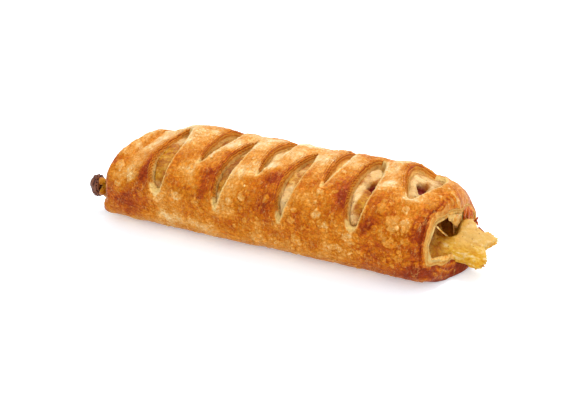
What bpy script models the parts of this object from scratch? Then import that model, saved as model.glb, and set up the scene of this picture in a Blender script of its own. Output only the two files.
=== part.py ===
"""Apple pastry: a log of puff pastry, slit along both shoulders and cut open at both ends.

The crust is a lofted shell. Two staggered rows of slits run across it and open down to the apple filling,
which goes through the whole log and pokes out of the right-hand end as a torn tongue. A raisin is caught at
the left-hand end.

X runs along the log, -Y is the front, Z is up. The origin lies under the middle of the crust, on the
surface that the pastry rests on.
"""

import math

import bmesh
import bpy
import numpy as np
from mathutils import noise

MM = 0.001
TINY = 1e-9

# The crust's body: sizes along X, each in millimetres at a few places, read smoothly between them
FRONT_WIDTHS = {-86: 30.0, -60: 31.0, -30: 31.8, 20: 31.6, 63: 32.8, 84: 26.5}
BACK_WIDTHS = {-86: 25.0, -50: 32.0, 45: 32.0, 64: 28.0, 80: 23.5}
HEIGHTS = {-86: 32.0, -72: 31.4, -55: 36.2, -40: 35.6, 38: 35.2, 52: 37.0, 62: 34.5, 78: 31.3, 84: 28.8}
SHOULDERS = {-60: 2.9, 45: 2.9, 78: 2.0}     # squareness of the section's upper half, where 2 is an ellipse
FOOT = 3.4                       # squareness of the lower half
WAIST = 0.46                     # height of the widest place, as a share of the height
SINK = 0.8 * MM                  # how far the rounded foot would reach under the surface that cuts it flat
SETTLED = 0.25 * MM              # skin this near the tray lies flat on it
WALL = 4.2 * MM                  # thickness of the baked dough
BASE_WALL = 3.0 * MM
CORNER_FEET = {58: 3.4, 78: 1.2} # squareness of the hollow's lower half: dough fills its corners at the end
GAP = 0.35 * MM                  # clearance between neighbouring pieces
FILLING_ROOM = 0.55 * MM         # clearance between the hollow's wall and the filling

# Where the crust ends, at angles round the section: 0 front, 90 top, 180 back, 270 bottom
LEFT_EDGE = {0: -84.0, 60: -83.0, 120: -81.5, 180: -82.0, 270: -83.5, 325: -87.0, 345: -86.0}
RIGHT_EDGE = {
    0: 74.0, 50: 73.0, 75: 75.5, 95: 78.5, 120: 78.5, 150: 78.5,
    180: 80.5, 235: 84.0, 270: 86.0, 300: 80.0, 330: 75.5,
}
LEFT_ROUND = 3.0 * MM            # how round that edge is
RIGHT_ROUND = 4.5 * MM

# Slits: place along X (mm) and share of the girth, at the low and the high end, then half width and skew.
# The girth runs from the front base edge, 0, over the top, 0.5, to the back base edge, 1.
# A skew over 0 makes the end with the higher girth the wider one.
FRONT_SLITS = [
    (-53.8, 0.213, -59.2, 0.59, 5.3, -0.15),
    (-23.3, 0.208, -23.8, 0.60, 3.4, -0.10),
    (7.4, 0.208, 7.4, 0.59, 3.9, -0.15),
    (40.8, 0.228, 36.5, 0.635, 5.6, 0.0),
]
BACK_SLITS = [
    (-74.0, 0.38, -75.6, 0.66, 2.5, 0.0),
    (-38.0, 0.355, -37.0, 0.74, 3.8, 0.20),
    (-8.4, 0.35, -8.2, 0.74, 3.5, 0.10),
    (22.0, 0.355, 21.3, 0.72, 2.4, 0.10),
    (60.4, 0.376, 60.4, 0.70, 8.0, 0.45),
]
SLIT_DEPTH = 8.0 * MM            # deeper than the wall, so that the slits open
SHALLOW_DEPTH = 3.2 * MM         # of a slit that is too narrow to open
NARROW_SLIT = 3.0                # half width up to which a slit stays shallow
# A slit's side walls: where each leaves the floor, and how much later it reaches the crust, in half widths
LEFT_FLANK = (0.40, 0.75)
RIGHT_FLANK = (0.55, 0.50)
POINTED_END = 0.25               # how soon a slit's floor rises towards its ends
LOBE_BULGE = 1.3 * MM            # how far the dough swells between slits
PLAIN_EDGE = 0.05                # share of the girth at each base edge that doesn't swell
LIP_BULGE = 0.5 * MM             # extra swelling along a slit's edge
LIP_AWAY = 3.0 * MM              # from the slit's edge to the middle of that swelling
LIP_SPREAD = 0.32
LIP_REACH = 0.42                 # share of the slit's length that it runs along, each way from the middle
END_STRETCH = 7.75               # how fast it fades past that
UNEVENNESS = 0.7 * MM            # height of the crust's slow waves
WAVE_LENGTH = 24.0 * MM
FOOT_PLAIN = 6.0 * MM            # height over which the relief fades out towards the base

# Filling: it fits the hollow, sinks under the right-hand opening and leaves it as a thin, twisted tongue
FILLING_LEFT = {-1.0: -84.8, 0.2: -83.6, 1.0: -80.5}          # its left end, from front, -1, to back, 1
SINK_START = 63.0 * MM
SINK_END = 72.0 * MM
TWIST_START = 71.0 * MM
TWIST_END = 85.0 * MM
TONGUE_TILT = math.radians(30.0)
TONGUE_MIDDLE_Y = -1.8 * MM
TONGUE_MIDDLE_Z = {72: 10.0, 84: 12.4}
TONGUE_LOW_SIDE = {70: 20.0, 80: 10.0, 84: 10.0, 90: 13.5}    # width from the middle to the low front edge
TONGUE_HIGH_SIDE = {70: 20.0, 82: 13.0}                       # and to the high back edge
TONGUE_THICKNESS = {72: 5.0, 84: 3.2, 96: 1.1}                # half the thickness
TONGUE_SQUARENESS = 0.8
# How far the torn edge reaches, from the low front side, -1, to the high back side, 1
TONGUE_EDGE = {
    -1.0: 87.0, -0.8: 92.0, -0.5: 93.2, -0.08: 89.8, 0.12: 94.5,
    0.27: 96.2, 0.42: 92.6, 0.6: 87.0, 1.0: 81.5,
}
# Pits in the filling under slits: place along X, share of the girth, radii along and across, depth
PITS = [(60.8, 0.47, 4.0, 7.5, 6.0), (43.8, 0.392, 2.2, 5.0, 4.0)]
PIT_BRIM = 1.3                   # in radii

APPLE_BITS = [((-88.5, -17.5, 10.5), (5.5, 4.5, 5.0)), ((-87.0, -10.0, 8.5), (4.5, 5.0, 4.2))]
RAISIN_PLACE = (-93.6, -18.8, 12.6)
RAISIN_RADII = (3.3, 4.0, 5.6)

LENGTH_STEPS = 210
GIRTH_STEPS = 112
BASE_STEPS = 24
GIRTH = 133.0 * MM               # round the skin, from the front base edge to the back one
FILLING_STEPS = (110, 56)
HOLLOW_REACH = 110.0 * MM
CRUST_SHARE = 0.13               # share of a fine body's triangles that the thinned one keeps
TOOL_SHARE = 0.13
FILLING_SHARE = 0.21

COLOURS = {
    "crust": (0.62, 0.27, 0.06, 1.0),
    "apple_filling": (0.66, 0.49, 0.14, 1.0),
    "raisin": (0.07, 0.03, 0.035, 1.0),
}
ROUGHNESS = {"crust": 0.42, "apple_filling": 0.3, "raisin": 0.35}


def clear_scene():
    for thing in list(bpy.data.objects):
        bpy.data.objects.remove(thing, do_unlink=True)


def ease(value):
    """0 below 0, 1 above 1, and a smooth rise between."""
    value = np.clip(value, 0.0, 1.0)
    return value * value * (3.0 - 2.0 * value)


def smooth_lookup(table, where, period=None):
    """Read a small table at any place, easing from each entry to the next."""
    places = np.array(sorted(table), float)
    values = np.array([table[place] for place in sorted(table)], float)
    if period:
        places = np.append(places, places[0] + period)
        values = np.append(values, values[0])
        where = np.mod(where - places[0], period) + places[0]
    index = np.clip(np.searchsorted(places, where, side="right") - 1, 0, len(places) - 2)
    share = (where - places[index]) / (places[index + 1] - places[index])
    return values[index] + (values[index + 1] - values[index]) * ease(share)


def section_point(x, angle, inset=0.0, base_inset=0.0):
    """Y and Z of the crust's outline at an angle, or of the outline that lies an inset inside it."""
    place = x / MM
    height = smooth_lookup(HEIGHTS, place) * MM
    front = smooth_lookup(FRONT_WIDTHS, place) * MM
    back = smooth_lookup(BACK_WIDTHS, place) * MM
    shoulder = 2.0 / smooth_lookup(SHOULDERS, place)
    foot = 2.0 / (smooth_lookup(CORNER_FEET, place) if inset else FOOT)
    waist = WAIST * height
    wide = np.abs(np.cos(angle))
    tall = np.abs(np.sin(angle))
    upper = np.sin(angle) > 0.0
    reach = np.where(np.cos(angle) > 0.0, front, back) - inset
    y = -reach * np.sign(np.cos(angle)) * wide ** np.where(upper, shoulder, foot)
    above = waist + (height - inset - waist) * tall ** shoulder
    below = waist - (waist + SINK - base_inset) * tall ** foot
    return y, np.maximum(np.where(upper, above, below), base_inset)


def girth_angles(steps, base_steps):
    """Section angles at even steps round the girth, then along the base, and the girth share of each."""
    fine = np.linspace(-math.pi / 2, 1.5 * math.pi, 4001)
    y, z = section_point(np.zeros_like(fine), fine)
    walked = np.concatenate([[0.0], np.cumsum(np.hypot(np.diff(y), np.diff(z)))])
    raised = np.nonzero(z > 0.0)[0]
    first, last = walked[raised[0] - 1], walked[raised[-1] + 1]
    over = np.linspace(first, last, steps + 1)
    under = np.linspace(last, walked[-1] + first, base_steps + 1)[1:-1]
    along = np.concatenate([over, under])
    angles = np.interp(np.mod(along, walked[-1]), walked, fine)
    return angles, (along - first) / (last - first)


def slit_shape(x, share, slit):
    """Depth of one slit, and the swelling along its edges, as shares of their full amounts."""
    low_x, low, high_x, high, half_width, skew = slit
    along = (share - low) / (high - low)
    inside = np.clip(along, 0.0, 1.0)
    centre = (low_x + (high_x - low_x) * along) * MM
    round_end = np.sin(math.pi * inside) ** 0.5
    width = half_width * MM * np.maximum(round_end * (1.0 + skew * (2.0 * inside - 1.0)), 0.02)
    across = (x - centre) / width
    floor = np.where(across < 0.0, LEFT_FLANK[0], RIGHT_FLANK[0])
    rise = np.where(across < 0.0, LEFT_FLANK[1], RIGHT_FLANK[1])
    depth = (1.0 - ease((np.abs(across) - floor) / rise)) * ease(np.sin(math.pi * inside) / POINTED_END)

    sideways = (x - centre) / (half_width * MM + LIP_AWAY)
    past_end = np.maximum(np.abs(along - 0.5) - LIP_REACH, 0.0) * END_STRETCH
    edge = np.exp(-((np.hypot(sideways, past_end) - 1.0) / LIP_SPREAD) ** 2)
    return depth, edge


def crust_relief(x, share):
    """How far the crust's surface stands out of the plain body (in where it is below zero)."""
    sunk = np.zeros_like(x)
    edge = np.zeros_like(x)
    for slit in FRONT_SLITS + BACK_SLITS:
        full = SLIT_DEPTH if slit[4] > NARROW_SLIT else SHALLOW_DEPTH
        depth, rim = slit_shape(x, share, slit)
        sunk = np.maximum(sunk, depth * full)
        edge = np.maximum(edge, rim)
    crown = np.sin(math.pi * np.clip((share - PLAIN_EDGE) / (1.0 - 2.0 * PLAIN_EDGE), 0.0, 1.0))
    bulge = LOBE_BULGE * crown + LIP_BULGE * edge
    return bulge * (1.0 - sunk / SLIT_DEPTH) - sunk


def slow_waves(points):
    """Uneven swelling of hand-made dough."""
    values = [noise.noise(place) for place in (points / WAVE_LENGTH).reshape(-1, 3).tolist()]
    return np.array(values).reshape(points.shape[:-1]) * UNEVENNESS


def outward(points):
    """Unit normals, square to X, of a grid of points that runs along the log, then round it."""
    along = np.gradient(points, axis=0)
    wrapped = np.concatenate([points[:, -1:], points, points[:, :1]], axis=1)
    around = np.gradient(wrapped, axis=1)[:, 1:-1]
    normal = np.cross(around, along)
    normal[..., 0] = 0.0
    normal /= np.maximum(np.linalg.norm(normal, axis=2, keepdims=True), TINY)
    middle = points.mean(axis=1, keepdims=True)
    sign = np.sign(((points - middle) * normal).sum(axis=2).mean())
    return normal * sign


def loft(name, points):
    """A closed mesh from rings of points, points[ring, place round it], with both ends capped by fans."""
    rings, around = points.shape[:2]
    shell = bmesh.new()
    verts = [[shell.verts.new(point) for point in ring] for ring in points]
    for ring in range(rings - 1):
        for place in range(around):
            after = (place + 1) % around
            corners = verts[ring][place], verts[ring][after], verts[ring + 1][after], verts[ring + 1][place]
            shell.faces.new(corners)
    for ring in (0, rings - 1):
        hub = shell.verts.new(points[ring].mean(axis=0))
        for place in range(around):
            shell.faces.new((verts[ring][place], verts[ring][(place + 1) % around], hub))
    bmesh.ops.recalc_face_normals(shell, faces=shell.faces)
    mesh = bpy.data.meshes.new(name)
    shell.to_mesh(mesh)
    shell.free()
    body = bpy.data.objects.new(name, mesh)
    bpy.context.collection.objects.link(body)
    return body


def rounding(from_edge, radius):
    """How far a quarter-round edge has drawn in, at a distance from the edge."""
    share = np.clip(1.0 - from_edge / radius, 0.0, 1.0)
    return radius * (1.0 - np.sqrt(1.0 - share ** 2))


def crust_grid():
    """Points of the crust's outer surface, with its slits pressed in."""
    angles, share = girth_angles(GIRTH_STEPS, BASE_STEPS)
    degrees = np.degrees(angles)
    left = smooth_lookup(LEFT_EDGE, degrees, 360.0) * MM
    right = smooth_lookup(RIGHT_EDGE, degrees, 360.0) * MM
    step = np.linspace(0.0, 1.0, LENGTH_STEPS + 1)[:, None]
    x = left + (right - left) * step
    y, z = section_point(x, np.broadcast_to(angles, x.shape))
    points = np.stack([x, y, z], axis=2)
    normal = outward(points)
    on_skin = (share <= 1.0) & (share >= 0.0)
    relief = np.where(on_skin, crust_relief(x, np.broadcast_to(share, x.shape)) + slow_waves(points), 0.0)
    relief *= ease(z / FOOT_PLAIN)
    points += normal * relief[..., None]

    turned = rounding(x - left, LEFT_ROUND) + rounding(right - x, RIGHT_ROUND)
    points -= normal * turned[..., None]
    points[..., 2] = np.where(points[..., 2] < SETTLED, 0.0, points[..., 2])
    return points


def hollow_grid():
    """Points of the tube that hollows the crust, longer than the crust at both ends."""
    steps, around = FILLING_STEPS
    angles, _ = girth_angles(around, BASE_STEPS // 3)
    x = np.linspace(-HOLLOW_REACH, HOLLOW_REACH, steps + 1)[:, None] + np.zeros_like(angles)
    y, z = section_point(x, np.broadcast_to(angles, x.shape), WALL, BASE_WALL)
    return np.stack([x, y, z], axis=2)


def boolean(body, other, operation):
    """Join or cut a body with another one, which is removed afterwards."""
    change = body.modifiers.new(operation.lower(), "BOOLEAN")
    change.object = other
    change.operation = operation
    change.solver = "EXACT"
    apply_modifiers(body)
    bpy.data.objects.remove(other, do_unlink=True)


def apply_modifiers(body):
    """Replace a body's mesh by its evaluated one."""
    graph = bpy.context.evaluated_depsgraph_get()
    finished = bpy.data.meshes.new_from_object(body.evaluated_get(graph))
    body.modifiers.clear()
    body.data = finished


def thin_out(body, share):
    """Merge triangles where the surface is plain."""
    thinning = body.modifiers.new("thin_out", "DECIMATE")
    thinning.ratio = share
    thinning.use_collapse_triangulate = True
    apply_modifiers(body)


def pressed(x, share):
    """Depth of the pits in the filling."""
    depth = np.zeros_like(x)
    for middle, girth, along, across, full in PITS:
        away = np.hypot((x / MM - middle) / along, (share - girth) * GIRTH / (across * MM))
        depth = np.maximum(depth, full * MM * ease(PIT_BRIM - away))
    return depth


def filling_grid(grow=0.0):
    """Points of the filling, or of the room that it takes with a clearance round it."""
    steps, around = FILLING_STEPS
    angles, share = girth_angles(around, BASE_STEPS // 3)
    side = -np.cos(angles)
    left = smooth_lookup(FILLING_LEFT, side) * MM - grow
    reach = smooth_lookup(TONGUE_EDGE, side) * MM + grow
    step = np.linspace(0.0, 1.0, steps + 1)[:, None]
    x = left + (reach - left) * step
    spread = np.broadcast_to(angles, x.shape)
    y, z = section_point(x, spread, WALL + FILLING_ROOM, BASE_WALL + FILLING_ROOM)
    tube = np.stack([x, y, z], axis=2)
    tube -= outward(tube) * pressed(x, np.broadcast_to(share, x.shape))[..., None]

    place = x / MM
    tilt = TONGUE_TILT * ease((x - TWIST_START) / (TWIST_END - TWIST_START))
    low, high = smooth_lookup(TONGUE_LOW_SIDE, place), smooth_lookup(TONGUE_HIGH_SIDE, place)
    wide = np.sign(side) * np.abs(side) ** TONGUE_SQUARENESS * np.where(side < 0.0, low, high) * MM
    thick = np.sin(spread) * smooth_lookup(TONGUE_THICKNESS, place) * MM
    slab_y = TONGUE_MIDDLE_Y + wide * np.cos(tilt) - thick * np.sin(tilt)
    slab_z = smooth_lookup(TONGUE_MIDDLE_Z, place) * MM + wide * np.sin(tilt) + thick * np.cos(tilt)
    slab = np.stack([x, slab_y, slab_z], axis=2)
    sunk = ease((x - SINK_START) / (SINK_END - SINK_START))[..., None]
    points = tube + (slab - tube) * sunk
    return points + outward(points) * grow


def make_crust():
    crust = loft("crust", crust_grid())
    thin_out(crust, CRUST_SHARE)
    for tool in (loft("hollow", hollow_grid()), loft("room", filling_grid(GAP))):
        thin_out(tool, TOOL_SHARE)
        boolean(crust, tool, "DIFFERENCE")
    return crust


def make_filling():
    filling = loft("apple_filling", filling_grid())
    for place, radii in APPLE_BITS:
        boolean(filling, lump("bit", place, radii, 2), "UNION")
    thin_out(filling, FILLING_SHARE)
    seat = [radius + GAP / MM for radius in RAISIN_RADII]
    boolean(filling, lump("seat", RAISIN_PLACE, seat, 3), "DIFFERENCE")
    return filling


def lump(name, place, radii, detail):
    """A rounded lump: a sphere of triangles, stretched to its radii."""
    ball = bmesh.new()
    bmesh.ops.create_icosphere(ball, subdivisions=detail, radius=1.0)
    for vert in ball.verts:
        vert.co = [(where + size * along) * MM for where, size, along in zip(place, radii, vert.co)]
    mesh = bpy.data.meshes.new(name)
    ball.to_mesh(mesh)
    ball.free()
    body = bpy.data.objects.new(name, mesh)
    bpy.context.collection.objects.link(body)
    return body


def make_raisin():
    return lump("raisin", RAISIN_PLACE, RAISIN_RADII, 3)


def finish(body):
    """Give a body its own material and smooth shading."""
    material = bpy.data.materials.new(body.name)
    material.use_nodes = True
    shader = material.node_tree.nodes["Principled BSDF"]
    shader.inputs["Base Color"].default_value = COLOURS[body.name]
    shader.inputs["Roughness"].default_value = ROUGHNESS[body.name]
    body.data.materials.clear()
    body.data.materials.append(material)
    body.data.shade_smooth()


def main():
    clear_scene()
    for make in (make_crust, make_filling, make_raisin):
        finish(make())


main()
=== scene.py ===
# %% [markdown]
# # Apple pastry
# A log of puff pastry, slit across along both shoulders, with cooked apple showing in the slits and a torn
# tongue of it at the right-hand end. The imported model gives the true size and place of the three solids.
# This script dresses them: a crust with blisters, flakes and cut layers, a lumpy moist filling, a wrinkled
# raisin, and the small torn bits of dough at the right-hand opening.

import math

import bpy
import numpy as np
from mathutils import Matrix, Vector, noise


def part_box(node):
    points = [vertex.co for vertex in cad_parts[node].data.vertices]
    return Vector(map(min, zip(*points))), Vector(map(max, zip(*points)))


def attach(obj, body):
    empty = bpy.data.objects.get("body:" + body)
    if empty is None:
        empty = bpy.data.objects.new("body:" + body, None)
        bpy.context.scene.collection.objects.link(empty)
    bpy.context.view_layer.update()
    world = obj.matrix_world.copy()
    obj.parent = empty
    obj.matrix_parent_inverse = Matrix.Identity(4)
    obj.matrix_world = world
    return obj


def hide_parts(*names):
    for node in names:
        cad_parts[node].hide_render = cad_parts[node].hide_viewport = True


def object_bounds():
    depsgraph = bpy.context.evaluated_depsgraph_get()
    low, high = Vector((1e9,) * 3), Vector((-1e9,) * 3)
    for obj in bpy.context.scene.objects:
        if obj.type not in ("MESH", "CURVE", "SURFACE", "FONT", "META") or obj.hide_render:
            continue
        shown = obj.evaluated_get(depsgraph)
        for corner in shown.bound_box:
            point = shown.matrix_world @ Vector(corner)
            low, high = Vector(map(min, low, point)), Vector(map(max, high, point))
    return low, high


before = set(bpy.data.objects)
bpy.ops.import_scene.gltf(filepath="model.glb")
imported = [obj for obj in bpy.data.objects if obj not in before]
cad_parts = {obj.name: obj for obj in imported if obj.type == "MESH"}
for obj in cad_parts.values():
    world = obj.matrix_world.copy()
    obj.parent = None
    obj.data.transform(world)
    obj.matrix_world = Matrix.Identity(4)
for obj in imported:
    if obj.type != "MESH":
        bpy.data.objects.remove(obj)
cad_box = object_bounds()
print("solids:", sorted(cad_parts))
print("box:", [[round(value, 4) for value in corner] for corner in cad_box])

# %% [markdown]
# ## Small tools
# All shapes below are worked out in millimetres and written to meshes in metres. An operator acts on
# everything that is selected, so each step starts by selecting one piece alone.

# %% Selecting and applying
MM = 0.001
HAIR = 0.02              # in millimetres, to stay clear of a limit


def select_only(piece):
    """Deselect everything, then make one piece the selected and active one."""
    bpy.ops.object.select_all(action="DESELECT")
    piece.select_set(True)
    bpy.context.view_layer.objects.active = piece


def apply_modifier(piece, kind, **settings):
    """Add one modifier, set it and apply it."""
    select_only(piece)
    modifier = piece.modifiers.new(kind.lower(), kind)
    for name, value in settings.items():
        setattr(modifier, name, value)
    bpy.ops.object.modifier_apply(modifier=modifier.name)


# %% Reading and writing points and values
def get_points(piece):
    """A mesh's points as rows of millimetres."""
    flat = np.empty(len(piece.data.vertices) * 3)
    piece.data.vertices.foreach_get("co", flat)
    return flat.reshape(-1, 3) / MM


def set_points(piece, points):
    """Write rows of millimetres to a mesh."""
    piece.data.vertices.foreach_set("co", (np.asarray(points) * MM).ravel())
    piece.data.update()


def set_value(piece, name, values):
    """Keep one number for each point, for a material to read."""
    layer = piece.data.attributes.get(name) or piece.data.attributes.new(name, "FLOAT", "POINT")
    layer.data.foreach_set("value", np.asarray(values, float).ravel())


def get_value(piece, name):
    """Read back what set_value kept."""
    values = np.empty(len(piece.data.vertices))
    piece.data.attributes[name].data.foreach_get("value", values)
    return values


# %% New grids, and faces in edit mode
def grid(name, across, up):
    """A new flat grid, from -0.5 to 0.5 both ways, and its points, to work a shape out from."""
    bpy.ops.object.select_all(action="DESELECT")
    bpy.ops.mesh.primitive_grid_add(x_subdivisions=across, y_subdivisions=up, size=1.0)
    piece = bpy.context.object
    piece.name = piece.data.name = name
    return piece, get_points(piece) * MM


def corners_of(piece):
    """The point at each corner of each face."""
    corners = np.empty(len(piece.data.loops), int)
    piece.data.loops.foreach_get("vertex_index", corners)
    return corners


def open_faces(piece, wanted):
    """Go into edit mode with the wanted faces selected."""
    select_only(piece)
    bpy.ops.object.mode_set(mode="EDIT")
    bpy.ops.mesh.select_mode(type="FACE")
    bpy.ops.object.mode_set(mode="OBJECT")
    for group in (piece.data.vertices, piece.data.edges, piece.data.polygons):
        group.foreach_set("select", np.zeros(len(group), bool))
    piece.data.polygons.foreach_set("select", np.asarray(wanted, bool))
    bpy.ops.object.mode_set(mode="EDIT")


def close_up(distance, outwards):
    """In edit mode, merge points that lie together, turn the faces outwards if asked, and leave it."""
    bpy.ops.mesh.select_all(action="SELECT")
    bpy.ops.mesh.remove_doubles(threshold=distance)
    if outwards:
        bpy.ops.mesh.normals_make_consistent(inside=False)
    bpy.ops.object.mode_set(mode="OBJECT")


# %% Finishing a piece
def finish_piece(piece, material):
    """Smooth shading, a material, and the body that the piece rides on."""
    select_only(piece)
    bpy.ops.object.shade_smooth()
    piece.data.materials.clear()
    piece.data.materials.append(material)
    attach(piece, "root")
    piece.data.calc_loop_triangles()
    triangles, nodes = len(piece.data.loop_triangles), len(material.node_tree.nodes)
    print(piece.name, "has", triangles, "triangles, and its material", nodes, "nodes")


# %% [markdown]
# Curves along the log are short tables, read smoothly between their entries. Uneven dough comes from
# smooth noise, which gives the same values in each run.

# %% Reading a small table
def ease(value):
    """0 below 0, 1 above 1, and a smooth rise between."""
    value = np.clip(value, 0.0, 1.0)
    return value * value * (3.0 - 2.0 * value)


def lookup(table, where, period=None):
    """Read a small table at any place, easing from each entry to the next."""
    places = np.array(sorted(table), float)
    values = np.array([table[place] for place in sorted(table)], float)
    if period:
        places = np.append(places, places[0] + period)
        values = np.append(values, values[0])
        where = np.mod(where - places[0], period) + places[0]
    index = np.clip(np.searchsorted(places, where, side="right") - 1, 0, len(places) - 2)
    share = (where - places[index]) / (places[index + 1] - places[index])
    return values[index] + (values[index + 1] - values[index]) * ease(share)


# %% Noise, ripples and bumps
def soft_noise(points, size, seed=0.0):
    """Smooth noise whose lumps are about so many millimetres wide."""
    rows = (points / np.asarray(size, float)).reshape(-1, 3) + seed
    return np.array([noise.noise(row) for row in rows.tolist()]).reshape(points.shape[:-1])


def waves(points, size, seed=0.0):
    """The same noise, brought to about -1 to 1."""
    return soft_noise(points, size, seed) * 1.6


def ripple(turns):
    """A sine wave from -1 to 1 that repeats at each whole number."""
    return np.sin(2.0 * math.pi * turns)


def bump_at(value, place, width):
    """A soft bump, 1 at a place and fading within a width of it."""
    return np.exp(-((value - place) / width) ** 2)


# %% [markdown]
# ## The crust's form
# The crust is the same log as the solid's: a squarish section whose size changes along X, with slits
# pressed in. Places on it are given by X and by the share of the girth, from the front base edge, 0, over
# the top, 0.5, to the back base edge, 1. The numbers are those of the solid, so the dressed crust lies on
# it. Only the edges of the two ends differ by up to three millimetres, where the left one is ragged and
# the right one rounder at its lower corner.

# %% The plain log
# Sizes in millimetres at a few places along X
FRONT_WIDTHS = {-86: 30.0, -60: 31.0, -30: 31.8, 20: 31.6, 63: 32.8, 84: 26.5}
BACK_WIDTHS = {-86: 25.0, -50: 32.0, 45: 32.0, 64: 28.0, 80: 23.5}
HEIGHTS = {-86: 32.0, -72: 31.4, -55: 36.2, -40: 35.6, 38: 35.2, 52: 37.0, 62: 34.5, 78: 31.3, 84: 28.8}
SHOULDERS = {-60: 2.9, 45: 2.9, 78: 2.0}    # squareness of the section's upper half, where 2 is an ellipse
FOOT = 3.4                                  # squareness of the lower half
CORNER_FEET = {58: 3.4, 78: 1.2}            # squareness of the hollow's lower half, along X
WAIST = 0.46                                # height of the widest place, as a share of the height
SINK = 0.8                                  # how far the rounded foot would reach under the floor
WALL, BASE_WALL = 4.2, 3.0                  # thickness of the dough, and under the filling
GIRTH = 133.0                               # round the skin, from the front base edge to the back one
# Where the crust ends, at degrees round the section: 0 front, 90 top, 180 back, 270 bottom
LEFT_EDGE = {0: -82.8, 60: -82.8, 120: -81.5, 180: -82.0, 270: -83.5, 325: -85.6, 345: -84.4}
RIGHT_EDGE = {
    0: 74.0, 25: 73.0, 50: 73.0, 75: 75.5, 95: 78.5, 120: 78.5, 150: 78.5,
    180: 80.5, 235: 84.0, 270: 86.0, 300: 81.0, 325: 79.0, 345: 76.4,
}


# %% The section's outline
def outline(x, angle, inset=0.0, base_inset=0.0, corner=FOOT):
    """Y and Z of the log's outline at an angle, or of the one that lies an inset inside it."""
    height = lookup(HEIGHTS, x)
    shoulder = 2.0 / lookup(SHOULDERS, x)
    foot = 2.0 / corner
    waist = WAIST * height
    reach = np.where(np.cos(angle) > 0.0, lookup(FRONT_WIDTHS, x), lookup(BACK_WIDTHS, x)) - inset
    wide, tall = np.abs(np.cos(angle)), np.abs(np.sin(angle))
    upper = np.sin(angle) > 0.0
    y = -reach * np.sign(np.cos(angle)) * wide ** np.where(upper, shoulder, foot)
    above = waist + (height - inset - waist) * tall ** shoulder
    below = waist - (waist + SINK - base_inset) * tall ** foot
    return y, np.maximum(np.where(upper, above, below), base_inset)


# %% Places round the girth
FINE_ANGLES = np.linspace(-math.pi / 2, 1.5 * math.pi, 4001)
fine_y, fine_z = outline(np.zeros_like(FINE_ANGLES), FINE_ANGLES)
WALKED = np.concatenate([[0.0], np.cumsum(np.hypot(np.diff(fine_y), np.diff(fine_z)))])
RAISED = np.nonzero(fine_z > 0.0)[0]
FIRST, LAST = WALKED[RAISED[0] - 1], WALKED[RAISED[-1] + 1]
HALF_BASE = FIRST / (LAST - FIRST)


def angle_at(share):
    """The section angle at a share of the girth. Shares below 0 and above 1 lie under the pastry."""
    return np.interp(FIRST + share * (LAST - FIRST), WALKED, FINE_ANGLES)


# %% Points and normals on the log
STEP = 0.02              # radians, to find the slope


def log_surface(x, share, inset=0.0, base_inset=0.0, corner=FOOT):
    """Points on the plain log, and the unit normal there, square to X."""
    angle = angle_at(share)
    y, z = outline(x, angle, inset, base_inset, corner)
    before_y, before_z = outline(x, angle - STEP, inset, base_inset, corner)
    after_y, after_z = outline(x, angle + STEP, inset, base_inset, corner)
    normal = np.stack([np.zeros_like(y), before_z - after_z, after_y - before_y], axis=-1)
    normal /= np.maximum(np.linalg.norm(normal, axis=-1, keepdims=True), 1e-9)
    return np.stack([x + np.zeros_like(y), y, z], axis=-1), normal


print("girth over the skin:", round(LAST - FIRST, 1), "mm, base:", round(2 * FIRST, 1), "mm")

# %% [markdown]
# ## Slits
# The baker cuts the rolled dough across before it is baked, and the cuts open as it rises. The left flank
# of a slit, which faces +X, is the gentle one, so the cut layers of dough show on it.

# %% Slit shapes
# X and girth share of the low end and of the high end, half width, and skew, over 0 for a wider high end
FRONT_SLITS = [
    (-53.8, 0.213, -59.2, 0.59, 5.3, -0.15),
    (-23.3, 0.208, -23.8, 0.60, 3.4, -0.10),
    (7.4, 0.208, 7.4, 0.59, 3.9, -0.15),
    (40.8, 0.228, 36.5, 0.635, 5.6, 0.0),
]
CREASE = (-74.0, 0.38, -75.6, 0.66, 2.5, 0.0)
BACK_SLITS = [
    (-38.0, 0.355, -37.0, 0.74, 3.8, 0.20),
    (-8.4, 0.35, -8.2, 0.74, 3.5, 0.10),
    (22.0, 0.355, 21.3, 0.72, 2.4, 0.10),
    (60.4, 0.376, 60.4, 0.70, 8.0, 0.45),
]
SLIT_DEPTH = 8.0         # deeper than the wall, so that the slits open
SHALLOW_DEPTH = 3.2      # of a slit that is too narrow to open
NARROW_SLIT, WIDE_SLIT = 3.0, 5.0
CREASE_DEPTH = 1.9
print("slits:", len(FRONT_SLITS), "in front,", len(BACK_SLITS), "further back, and a crease")
# Where each side wall leaves the floor, and how much later it reaches the crust, in half widths
LEFT_FLANK = (0.40, 0.75)
RIGHT_FLANK = (0.55, 0.50)
BLUNT_ENDS, SHARP_ENDS = 0.5, 0.8
LEAST_OPENING = 0.02
POINTED_END = 0.25       # how soon the floor rises towards the ends
LIP_AWAY, LIP_SPREAD = 3.0, 0.32            # the swelling's middle beyond the edge, in mm, and its width
LIP_REACH, END_STRETCH = 0.42, 7.75         # how far it runs each way, and how fast it then fades


# %% Depth and swelling of one slit
def slit_place(x, share, slit):
    """Where points lie at a slit: across, -1 to 1 between its edges, along, 0 to 1, and its width."""
    low_x, low, high_x, high, half_width, skew = slit
    along = (share - low) / (high - low)
    inside = np.clip(along, 0.0, 1.0)
    bluntness = BLUNT_ENDS if half_width > WIDE_SLIT else SHARP_ENDS
    opening = np.sin(math.pi * inside) ** bluntness * (1.0 + skew * (2.0 * inside - 1.0))
    width = half_width * np.maximum(opening, LEAST_OPENING)
    across = (x - low_x - (high_x - low_x) * along) / width
    return across, along, width


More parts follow.
